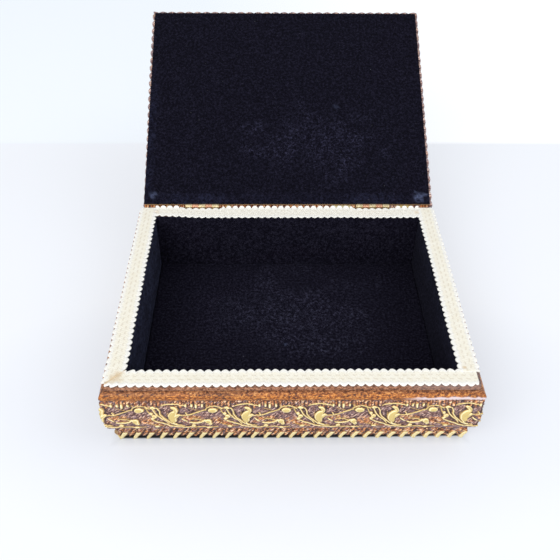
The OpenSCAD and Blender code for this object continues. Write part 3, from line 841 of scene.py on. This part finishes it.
LID_ROPE_PITCH = 8.1
LID_ROPE_LEAN = 0.3
LID_ROPE_IN, LID_ROPE_OUT = 0.3, 3.2     # its edges' distance out, and how far its crown stands past that
LID_ROPE_LOW = AXIS_Z + 1.4
LID_ROPE_HIGH = LID_ROPE_LOW + 9.2
STRIP_LOW, STRIP_HIGH, STRIP_T, STRIP_R = AXIS_Z + 2.3, AXIS_Z + 9.4, 2.5, 0.9

# Each rope: half its length, its distance from the middle, and whether its low and high ends are mitred.
LID_SIDES = {
    "front": (LID_HALF_W, HALF_D, True, True),
    "right": (HALF_D, LID_HALF_W, True, False),
    "left": (HALF_D, LID_HALF_W, False, True),
}


def lid_rope(side):
    """A length of twisted rope moulding on the lid's edge, thinner at the left side's hinge end."""
    half, distance, low_mitred, high_mitred = LID_SIDES[side]
    seed = 140 + list(LID_SIDES).index(side)
    turn = np.linspace(0, math.pi, 26)
    middle, half_h = (LID_ROPE_LOW + LID_ROPE_HIGH) / 2, (LID_ROPE_HIGH - LID_ROPE_LOW) / 2
    out = np.append(LID_ROPE_IN + LID_ROPE_OUT * np.sin(turn) ** 0.7, [0.0, 0.0])
    height = np.append(middle + half_h * np.cos(turn), [LID_ROPE_LOW, LID_ROPE_HIGH])
    row, share = np.meshgrid(np.arange(len(out)), np.linspace(0, 1, round(2 * half / CELL)), indexing="ij")
    z, face = height[row], row < len(turn)

    def length_at(reach):
        low, high = -half - reach * low_mitred, half + reach * high_mitred
        return low + (high - low) * share

    along = length_at(out[row])
    shifted = along - (z - middle) * LID_ROPE_LEAN
    strand = np.abs(np.cos(math.pi * shifted / LID_ROPE_PITCH)) ** 0.8
    thin = 0.6 * smoothstep(0.5 * half, -half, along) * (side == "left")
    reach = np.where(face, LID_ROPE_IN + (out[row] - LID_ROPE_IN) * strand * (1 - thin), 0)
    reach = reach + np.where(face, 0.08 * noise(along, z, 1.2, seed), 0)
    points = placed(side, length_at(reach), distance + reach, z)
    piece = swept("lid_" + side + "_rope_trim", lid_at_rest(points))
    gold = 0.25 * smoothstep(0.75, 1.0, strand) * smoothstep(0.0, 0.7, noise(along, z, 6, seed + 5))
    copper = 0.1 + 0.3 * smoothstep(0.2, 0.8, noise(along, z, 4, seed + 6))
    # Painted shade between the strands, and a painted highlight on their crests.
    shade_and_grime = 0.85 * smoothstep(0.75, 0.2, strand)
    rub_and_light = 0.2 * smoothstep(0.7, 1.0, strand)
    paint(piece, "finish", gold * face, copper * face, 0)
    paint(piece, "painted_light_and_wear", shade_and_grime * face, rub_and_light * face, 0)
    paint(piece, "run", along, z, distance)
    fit(piece, gilt_material(), "lid", "lid_rope_" + side)


def lid_back_strip():
    """The plain rounded strip along the lid's hinge side, rubbed to gold beside the hinges."""
    inner, outer = HALF_D, HALF_D + STRIP_T
    section = (arc((outer - STRIP_R, STRIP_HIGH - STRIP_R), STRIP_R, 90, 0, 0.3)
               + arc((outer - STRIP_R, STRIP_LOW + STRIP_R), STRIP_R, 0, -90, 0.3)
               + spaced([(inner, STRIP_LOW), (inner, STRIP_HIGH)], 2))
    y, z = (np.array(values) for values in zip(*section))
    x = np.linspace(-LID_HALF_W, LID_HALF_W, 400)
    row, gx = np.meshgrid(np.arange(len(section)), x, indexing="ij")
    wobble = 0.06 * noise(gx, z[row] * 3 + y[row] * 5, 4, 160)
    points = np.stack([gx, y[row] + wobble * (y[row] > inner + 0.1), z[row]], -1)
    piece = swept("lid_back_strip_coppered", lid_at_rest(points))
    inward = HINGE_X - np.abs(gx)
    inside_hinges = smoothstep(17, 19, inward) * smoothstep(36, 32, inward)
    outside_hinges = smoothstep(17, 19, -inward) * smoothstep(38, 34, -inward)
    broken = smoothstep(-0.35, 0.25, noise(gx, z[row], 5, 161))
    gold = 0.8 * inside_hinges * broken + 0.45 * outside_hinges * broken
    paint(piece, "finish", gold, 0.85, 0)
    paint(piece, "painted_light_and_wear", 0 * gold, 0, 0)
    paint(piece, "run", gx, 3 * z[row], HALF_D)
    fit(piece, gilt_material(), "lid", "lid_back_strip")


# ---------------- materials


class Nodes:
    """A material and its nodes. Each method that adds nodes gives what comes out of the last of them."""

    def __init__(self, name):
        self.material = bpy.data.materials.new(name)
        self.material.use_nodes = True
        self.tree = self.material.node_tree
        self.shader = self.tree.nodes["Principled BSDF"]

    def feed(self, node, inputs):
        """Joins or sets a node's inputs."""
        for key, value in inputs.items():
            if isinstance(value, bpy.types.NodeSocket):
                self.tree.links.new(value, node.inputs[key])
            else:
                node.inputs[key].default_value = value

    def shade(self, **inputs):
        """Joins or sets the shader's inputs, named with _ for each space."""
        self.feed(self.shader, {name.replace("_", " "): value for name, value in inputs.items()})

    def add(self, kind, inputs, **settings):
        """Adds a node, sets it up, and gives its outputs."""
        node = self.tree.nodes.new("ShaderNode" + kind)
        for key, value in settings.items():
            setattr(node, key, value)
        self.feed(node, inputs)
        return node.outputs

    def sum(self, first, second):
        return self.add("Math", {0: first, 1: second}, operation="ADD")[0]

    def product(self, first, second):
        return self.add("Math", {0: first, 1: second}, operation="MULTIPLY")[0]

    def largest(self, first, second):
        return self.add("Math", {0: first, 1: second}, operation="MAXIMUM")[0]

    def stretched(self, vector, stretch):
        return self.add("VectorMath", {0: vector, 1: stretch}, operation="MULTIPLY")[0]

    def place(self, stretch=(1, 1, 1)):
        """The place on the piece in mm, with each axis multiplied by stretch."""
        return self.stretched(self.add("TexCoord", {})["Object"], [s / MM for s in stretch])

    def unrolled(self, turn, stretch):
        """The place on a moulding's face in mm, turned by some degrees and then stretched."""
        run = self.add("Attribute", {}, attribute_name="run")["Vector"]
        turned = self.add("VectorRotate", {"Vector": run, "Angle": math.radians(turn)},
                          rotation_type="Z_AXIS")[0]
        return self.stretched(turned, stretch)

    def cloud(self, place, size, detail=4.0, roughness=0.55, distortion=0.0):
        """Noise with features about size mm wide."""
        return self.add("TexNoise", {"Vector": place, "Scale": 1 / size, "Detail": detail,
                                     "Roughness": roughness, "Distortion": distortion})["Fac"]

    def ramp(self, value, *stops):
        """A colour ramp; each stop is (position, colour or grey)."""
        node = self.tree.nodes.new("ShaderNodeValToRGB")
        self.feed(node, {"Fac": value})
        elements = node.color_ramp.elements
        while len(elements) < len(stops):
            elements.new(0.5)
        for element, (position, colour) in zip(elements, stops):
            element.position = position
            element.color = (*colour, 1) if isinstance(colour, tuple) else (colour, colour, colour, 1)
        return node.outputs["Color"]

    def mix(self, factor, first, second, blend="MIX"):
        """Two colours mixed, each a node's output or three numbers."""
        first, second = ((*colour, 1) if isinstance(colour, tuple) else colour for colour in (first, second))
        return self.add("Mix", {0: factor, 6: first, 7: second}, data_type="RGBA", blend_type=blend)[2]

    def span(self, value, low, high, to_low=0.0, to_high=1.0):
        """A value brought from one range to another."""
        return self.add("MapRange", {"Value": value, "From Min": low, "From Max": high,
                                     "To Min": to_low, "To Max": to_high})[0]

    def channels(self, name):
        """The three values that paint() stored under a name."""
        return self.add("SeparateColor", {0: self.add("Attribute", {}, attribute_name=name)["Color"]})[:3]

    def bump(self, height, strength, distance_mm):
        bumped = self.add("Bump", {"Height": height, "Strength": strength, "Distance": distance_mm * MM})[0]
        self.shade(Normal=bumped)


def band_colours(nodes):
    """The round band's mottled orange and the step's umber."""
    streaks = nodes.cloud(nodes.unrolled(4, (0.65, 1.0, 1)), 1.2, detail=6, roughness=0.8)
    wide = nodes.cloud(nodes.unrolled(0, (0.35, 0.8, 1)), 9, detail=2)
    orange = nodes.ramp(streaks, (0.40, (0.045, 0.010, 0.004)), (0.475, (0.235, 0.058, 0.008)),
                        (0.54, (0.57, 0.177, 0.018)), (0.63, (0.84, 0.42, 0.11)))
    umber = nodes.ramp(streaks, (0.40, (0.050, 0.018, 0.012)), (0.49, (0.26, 0.105, 0.052)),
                       (0.61, (0.60, 0.32, 0.19)))
    shade = nodes.ramp(wide, (0.35, 0.72), (0.62, 1.0))
    return nodes.mix(1.0, orange, shade, "MULTIPLY"), umber


def frieze_colours(nodes):
    """The scratched violet-brown ground and the copper that shows on it."""
    hatch = nodes.cloud(nodes.unrolled(45, (0.34, 1.25, 1)), 1.1, detail=4, roughness=0.65)
    calm = nodes.ramp(nodes.cloud(nodes.unrolled(20, (0.7, 1, 1)), 6.5, detail=2), (0.49, 0.0), (0.56, 0.8))
    # The palest stop of the ground and of the copper paints small glints: painted highlights.
    ground = nodes.ramp(hatch, (0.41, (0.024, 0.009, 0.012)), (0.485, (0.105, 0.052, 0.057)),
                        (0.545, (0.235, 0.145, 0.155)), (0.61, (0.76, 0.53, 0.44)))
    coppery = nodes.ramp(hatch, (0.41, (0.060, 0.014, 0.007)), (0.475, (0.40, 0.115, 0.027)),
                         (0.535, (0.80, 0.31, 0.088)), (0.61, (1.0, 0.76, 0.47)))
    return nodes.mix(calm, ground, (0.160, 0.102, 0.116)), coppery


@cache
def gilt_material():
    """Old gold and copper rubbed over a brown-violet ground, and the glossy mottled bands, with painted shade
    in the hollows and painted highlights on the gold and the bands.
    """
    nodes = Nodes("gilt_moulding")
    gold, copper, torus = nodes.channels("finish")
    shade_and_grime, burnish_and_highlight, step = nodes.channels("painted_light_and_wear")
    flat = nodes.unrolled(0, (1, 1, 1))
    fine = nodes.cloud(flat, 0.7, detail=3)
    ground, coppery = frieze_colours(nodes)
    orange, umber = band_colours(nodes)
    patchy = nodes.ramp(nodes.cloud(flat, 2.4, detail=4), (0.40, 0.0), (0.50, 1.0))
    colour = nodes.mix(nodes.product(nodes.sum(nodes.product(copper, 0.9), 0.16), patchy), ground, coppery)
    colour = nodes.mix(torus, colour, orange)
    colour = nodes.mix(step, colour, umber)
    # Painted shade: where the shade-and-grime share is high, the colour goes near black.
    colour = nodes.mix(nodes.product(shade_and_grime, 0.9), colour, (0.022, 0.009, 0.009))
    rub_and_light = nodes.sum(gold, nodes.product(nodes.sum(fine, -0.5), 0.5))
    # The gold's colour: brown at the edges of the gilt as painted shade, pale cream on narrow strokes and
    # rims as a painted highlight, and khaki in the middle of broad shapes.
    golden = nodes.ramp(rub_and_light, (0.18, (0.18, 0.075, 0.020)), (0.34, (0.58, 0.36, 0.10)),
                        (0.50, (0.84, 0.67, 0.30)), (0.68, (0.97, 0.88, 0.57)), (0.86, (0.77, 0.62, 0.27)),
                        (1.0, (0.66, 0.50, 0.18)))
    gilded = nodes.ramp(rub_and_light, (0.16, 0.0), (0.30, 1.0))
    # A painted highlight: the burnished places are painted pale pink, as a painted reflection, and made more
    # metallic and smoother.
    colour = nodes.mix(burnish_and_highlight, nodes.mix(gilded, colour, golden), (0.84, 0.72, 0.74))
    metal = nodes.sum(nodes.product(gilded, 0.35), nodes.product(burnish_and_highlight, 0.4))
    smooth = nodes.sum(nodes.largest(torus, step), burnish_and_highlight)
    rough = nodes.ramp(smooth, (0.0, 0.44), (0.5, 0.30), (1.0, 0.24))
    nodes.shade(Base_Color=colour, Metallic=metal, Roughness=nodes.sum(rough, nodes.product(fine, 0.12)),
                Specular_IOR_Level=0.35, Coat_Weight=0.1, Coat_Roughness=0.2)
    nodes.bump(fine, 0.7, 0.3)
    return nodes.material


@cache
def gimp_material():
    """Cream cotton and rayon trim, its edge loops whiter than its body."""
    nodes = Nodes("gimp")
    place = nodes.place()
    marks, stain, body = nodes.channels("trim")
    threads = nodes.add("TexWave", {"Vector": place, "Scale": 0.55, "Distortion": 2.5, "Detail": 2.0,
                                    "Detail Scale": 1.5}, bands_direction="DIAGONAL")["Fac"]
    white = nodes.ramp(threads, (0.1, (0.87, 0.84, 0.76)), (0.8, (0.975, 0.965, 0.915)))
    cream = nodes.ramp(nodes.cloud(place, 5.0), (0.3, (0.875, 0.81, 0.635)), (0.7, (0.945, 0.90, 0.765)))
    colour = nodes.mix(nodes.product(body, 0.75), white, cream)
    colour = nodes.mix(nodes.product(marks, 0.5), colour, (0.52, 0.40, 0.24))
    colour = nodes.mix(nodes.product(stain, 0.62), colour, (0.62, 0.38, 0.12))
    nodes.shade(Base_Color=colour, Roughness=0.75, Sheen_Weight=0.25, Sheen_Roughness=0.5)
    nodes.bump(threads, 0.45, 0.25)
    return nodes.material


def with_lint(nodes, place, colour):
    """Adds bits of lint to a colour: a few clear ones, and closer, fainter ones."""
    for size, without, strength in ((7.0, 0.84, 0.16), (2.6, 0.90, 0.05)):
        cells = nodes.add("TexVoronoi", {"Vector": place, "Scale": 1 / size})
        near = nodes.ramp(cells["Distance"], (0.15 / size, 1.0), (0.45 / size, 0.0))
        chance = nodes.add("SeparateColor", {0: cells["Color"]})[0]
        lint = nodes.product(near, nodes.ramp(chance, (without, 0.0), (without + 0.04, 1.0)))
        colour = nodes.mix(nodes.product(lint, strength), colour, (0.55, 0.56, 0.62))
    return colour


@cache
def velvet_material(name, depth):
    """Black-blue velvet: a fine uneven pile, crushed, worn and bruised places, and bits of lint. The worn
    share also carries painted light on the walls. depth below 1 makes its black deeper, as painted shade."""
    nodes = Nodes(name)
    place = nodes.place()
    crushed, worn_and_lit, bruised = nodes.channels("nap")
    pile = nodes.cloud(place, 2.0, detail=6, roughness=0.85)
    tufts = nodes.cloud(place, 2.3, detail=5, roughness=0.8, distortion=0.5)
    flattened = nodes.product(crushed, nodes.ramp(tufts, (0.52, 0.0), (0.62, 1.0)))
    specks = nodes.product(worn_and_lit, nodes.ramp(tufts, (0.44, 0.0), (0.58, 1.0)))
    shiny = nodes.product(bruised, nodes.ramp(tufts, (0.38, 0.3), (0.56, 1.0)))
    colour = nodes.ramp(pile, (0.42, (0.0015, 0.0009, 0.0044)), (0.50, (0.0044, 0.0037, 0.0105)),
                        (0.60, (0.0210, 0.0195, 0.0340)))
    colour = nodes.mix(flattened, colour, (0.052, 0.051, 0.084))
    # The worn share, worn nap and, on the walls, painted light, shows as lighter specks.
    colour = nodes.mix(specks, colour, (0.047, 0.054, 0.100))
    # depth below 1 darkens the colour: painted shade, strongest on the lid's copy.
    colour = nodes.mix(1.0, colour, (depth, depth, depth ** 0.7), "MULTIPLY")
    colour = nodes.mix(shiny, colour, (0.066, 0.080, 0.145))
    nodes.shade(Base_Color=with_lint(nodes, place, colour), Roughness=0.95, Specular_IOR_Level=0.1,
                Sheen_Weight=0.02, Sheen_Roughness=0.35, Sheen_Tint=(0.45, 0.5, 0.8, 1))
    nodes.bump(tufts, 0.5, 0.4)
    return nodes.material


def felt_material():
    """Black wool felt."""
    nodes = Nodes("felt")
    fibres = nodes.cloud(nodes.place(), 0.5, detail=6, roughness=0.75)
    colour = nodes.ramp(fibres, (0.3, (0.006, 0.006, 0.007)), (0.7, (0.022, 0.022, 0.026)))
    nodes.shade(Base_Color=colour, Roughness=0.95, Sheen_Weight=0.15)
    nodes.bump(fibres, 0.8, 0.3)
    return nodes.material


def metal_material(name, dark, light, roughness):
    """Worn metal with a fine tarnish."""
    nodes = Nodes(name)
    tarnish = nodes.cloud(nodes.place(), 1.8, detail=6, roughness=0.65)
    scratches = nodes.cloud(nodes.place((0.3, 6, 6)), 1.2, detail=3)
    nodes.shade(Base_Color=nodes.ramp(tarnish, (0.35, dark), (0.62, light)), Metallic=0.9,
                Roughness=nodes.span(scratches, 0, 1, roughness, roughness + 0.2))
    nodes.bump(scratches, 0.15, 0.1)
    return nodes.material


@cache
def wood_material(name, dark, light, ring_mm=3.0, gloss=0.3, coat=0.4, grain=1.0):
    """Wood with its grain along X: rings, pores and a lacquer coat."""
    nodes = Nodes(name)
    along = nodes.place((0.06, 1, 1))
    warp = nodes.cloud(along, 14, detail=3)
    rings = nodes.cloud(along, ring_mm, detail=6, roughness=0.6, distortion=0.8)
    pores = nodes.cloud(nodes.place((0.12, 3, 3)), 1.0, detail=3, roughness=0.6)
    shade = nodes.ramp(warp, (0.3, 0.78), (0.7, 1.0))
    fleck = nodes.ramp(pores, (0.36, 0.55), (0.5, 1.0))
    colour = nodes.mix(grain * 0.8, nodes.ramp(rings, (0.30, dark), (0.68, light)), shade, "MULTIPLY")
    colour = nodes.mix(grain * 0.6, colour, fleck, "MULTIPLY")
    nodes.shade(Base_Color=colour, Roughness=gloss, Coat_Weight=coat, Coat_Roughness=0.12)
    nodes.bump(pores, 0.18, 0.15)
    return nodes.material


def core_wood_material():
    """The bare wood of the boards and behind the mouldings."""
    return wood_material("core_wood", (0.30, 0.17, 0.075), (0.52, 0.34, 0.17), 2.4, gloss=0.65, coat=0.0)


def pearl_material():
    """Mother-of-pearl: pale, with soft coloured clouds."""
    nodes = Nodes("pearl")
    swirl = nodes.cloud(nodes.place(), 6, detail=3, distortion=1.5)
    lines = nodes.cloud(nodes.place((0.4, 1.5, 1.5)), 1.2, detail=4)
    tint = nodes.ramp(swirl, (0.25, (0.62, 0.70, 0.66)), (0.45, (0.80, 0.76, 0.70)),
                      (0.6, (0.80, 0.68, 0.70)), (0.75, (0.66, 0.74, 0.80)))
    colour = nodes.mix(0.25, tint, nodes.ramp(lines, (0.3, 0.7), (0.7, 1.0)), "MULTIPLY")
    nodes.shade(Base_Color=colour, Roughness=0.22, Coat_Weight=0.6, Coat_Roughness=0.08)
    return nodes.material


def bone_material():
    """Bone with faint streaks."""
    nodes = Nodes("bone")
    streaks = nodes.cloud(nodes.place((0.15, 1, 1)), 1.5, detail=4)
    colour = nodes.ramp(streaks, (0.3, (0.66, 0.57, 0.40)), (0.7, (0.84, 0.78, 0.64)))
    nodes.shade(Base_Color=colour, Roughness=0.35, Coat_Weight=0.4)
    return nodes.material


def finish_cad_nodes():
    """Gives every CAD node that stays in view its material."""
    walnut = wood_material("walnut", (0.060, 0.026, 0.012), (0.20, 0.095, 0.042))
    maple = wood_material("maple", (0.58, 0.40, 0.21), (0.76, 0.58, 0.35), 4.5, grain=0.5)
    ebony = wood_material("ebony", (0.008, 0.006, 0.006), (0.030, 0.022, 0.018), 2.0)
    padauk = wood_material("padauk", (0.22, 0.045, 0.018), (0.42, 0.11, 0.035), 2.6)
    brass = metal_material("brass", (0.40, 0.30, 0.15), (0.72, 0.61, 0.38), 0.34)
    coppered = metal_material("coppered_brass", (0.34, 0.15, 0.08), (0.66, 0.37, 0.23), 0.34)
    steel = metal_material("steel", (0.30, 0.29, 0.28), (0.62, 0.61, 0.60), 0.3)
    groups = [
        (core_wood_material(), ["base_panel", "lid_panel"]),
        (felt_material(), ["base_felt"]),
        (steel, ["corner_pins", "base_pins"]),
        (brass, ["left_hinge_box_leaf", "right_hinge_box_leaf", "hinge_box_screws", "hinge_lid_screws",
                 "left_hinge_pin", "right_hinge_pin"]),
        (coppered, ["left_hinge_lid_leaf", "right_hinge_lid_leaf"]),
        (walnut, ["inlay_border", "inlay_field"]),
        (maple, ["inlay_outer_line", "inlay_inner_line"]),
        (ebony, ["inlay_chequer_dark", "star_bars", "small_star_hearts"]),
        (bone_material(), ["inlay_chequer_light"]),
        (pearl_material(), ["star_points", "small_star_points"]),
        (padauk, ["star_darts", "star_heart"]),
    ]
    for material, names in groups:
        for name in names:
            slots = frame["nodes"][name].data.materials
            slots.clear()
            slots.append(material)


# ---------------- floor, light and camera

CAMERA_AT = (-15.3, -420.9, 426.8)
CAMERA_PITCH, CAMERA_YAW, CAMERA_ROLL = 40.70, -1.07, 0.62  # degrees
CAMERA_LENS, SENSOR = 48.2, 36.0
CAMERA_SHIFT = -1 / 560          # of the picture's width
TABLE_HALF = 2500
TABLE_BACK = 306                 # the table's far edge, where its tone changes slightly
FOOT_IN = ROPE_IN + ROPE_TUCK    # how far in from the rim's edge the box's foot stands
DIM_Y, DIM_W, DIM_D = -60, 480, 240  # the table's dimmer part: its middle's Y, and its reach in X and Y


def make_camera():
    pitch, yaw, roll = (math.radians(a) for a in (CAMERA_PITCH, CAMERA_YAW, CAMERA_ROLL))
    ahead = Vector((-math.sin(yaw) * math.cos(pitch), math.cos(yaw) * math.cos(pitch), -math.sin(pitch)))
    right = Vector((math.cos(yaw), math.sin(yaw), 0))
    up = right.cross(ahead)
    right, up = (right * math.cos(roll) + up * math.sin(roll), up * math.cos(roll) - right * math.sin(roll))
    data = bpy.data.cameras.new("camera")
    data.lens, data.sensor_width, data.shift_y = CAMERA_LENS, SENSOR, CAMERA_SHIFT
    data.clip_start, data.clip_end = 0.01, 20
    camera = bpy.data.objects.new("camera", data)
    turn = Matrix((right, up, -ahead)).transposed().to_4x4()
    camera.matrix_world = Matrix.Translation(Vector(CAMERA_AT) * MM) @ turn
    bpy.context.scene.collection.objects.link(camera)
    bpy.context.scene.camera = camera


def contact_shadow(nodes, x, y):
    """0 on the table close round the box's foot, where no light gets in, and 1 in the open."""
    gaps = []
    for value, half in ((x, HALF_W), (y, HALF_D)):
        distance = nodes.add("Math", {0: value}, operation="ABSOLUTE")[0]
        gaps.append(nodes.sum(distance, FOOT_IN - half))
    gap = nodes.product(nodes.largest(*gaps), 0.1)
    fading = nodes.span(x, 30, 110, 0.0, 0.1)
    return nodes.ramp(nodes.sum(gap, fading), (0.12, 0.02), (0.24, 0.85), (0.9, 1.0))


def floor_material():
    """A pale table that glows, as painted light, and so is nearly without shadows; it turns white past its
    far edge, its glow is painted dimmer round the box, and a painted contact shadow lines the box's foot.
    """
    nodes = Nodes("floor")
    place = nodes.place()
    x, y, _ = nodes.add("SeparateXYZ", {0: place})
    backdrop = nodes.ramp(nodes.span(x, -120, 120), (0.0, (0.50, 0.535, 0.56)), (1.0, (0.62, 0.63, 0.64)))
    from_box = nodes.add("VectorMath", {0: place, 1: (0, DIM_Y, 0)}, operation="SUBTRACT")[0]
    from_box = nodes.stretched(from_box, (1 / DIM_W, 1 / DIM_D, 0))
    away = nodes.add("VectorMath", {0: from_box}, operation="LENGTH")["Value"]
    # Painted shade: the table's glow is dimmer round the box.
    lit = nodes.ramp(away, (0.18, (0.37, 0.385, 0.42)), (0.55, (0.475, 0.485, 0.505)))
    glow = nodes.mix(nodes.span(y, TABLE_BACK - 3, TABLE_BACK + 3), lit, backdrop)
    open_air = contact_shadow(nodes, x, y)
    table = nodes.mix(open_air, (0.004, 0.004, 0.006), (0.455, 0.47, 0.50))
    glow = nodes.mix(open_air, (0, 0, 0), glow)
    nodes.shade(Base_Color=table, Roughness=0.6, Specular_IOR_Level=0.2, Emission_Color=glow,
                Emission_Strength=1.0)
    return nodes.material


def make_floor():
    corners = [(x * TABLE_HALF, y * TABLE_HALF, 0) for x, y in ((-1, -1), (1, -1), (1, 1), (-1, 1))]
    floor = new_object("floor", corners, [[0, 1, 2, 3]], smooth=False)
    floor.data.materials.append(floor_material())


def area_light(name, at, size, power, colour=(1, 1, 1)):
    """A soft rectangular light, aimed at the box; places and sizes are in metres."""
    data = bpy.data.lights.new(name, "AREA")
    data.shape, data.size, data.size_y = "RECTANGLE", size[0], size[1]
    data.energy, data.color = power, colour
    light = bpy.data.objects.new(name, data)
    light.location = at
    light.rotation_euler = (-Vector(at)).to_track_quat("-Z", "Y").to_euler()
    bpy.context.scene.collection.objects.link(light)


def make_light():
    world = bpy.data.worlds.new("studio")
    world.use_nodes = True
    background = world.node_tree.nodes["Background"]
    background.inputs["Color"].default_value = (0.92, 0.95, 1.0, 1)
    background.inputs["Strength"].default_value = 0.62
    bpy.context.scene.world = world
    area_light("window", at=(-0.9, -1.5, 1.5), size=(1.8, 1.4), power=26, colour=(1.0, 0.99, 0.97))
    area_light("front", at=(0.3, -1.8, 0.55), size=(2.4, 0.8), power=12)
    area_light("fill", at=(1.3, -0.2, 1.4), size=(1.4, 1.4), power=7, colour=(0.95, 0.97, 1.0))
    bpy.context.scene.view_settings.view_transform = "Standard"


def main():
    make_camera()
    make_floor()
    make_light()
    finish_cad_nodes()
    tile = vine_tile()
    for side in SIDES:
        moulding(side, tile)
    for side in SIDES:
        gimp(side)
        wall_liner(side)
    floor_velvet()
    lid_velvet()
    for side in LID_SIDES:
        lid_rope(side)
    lid_back_strip()


main()
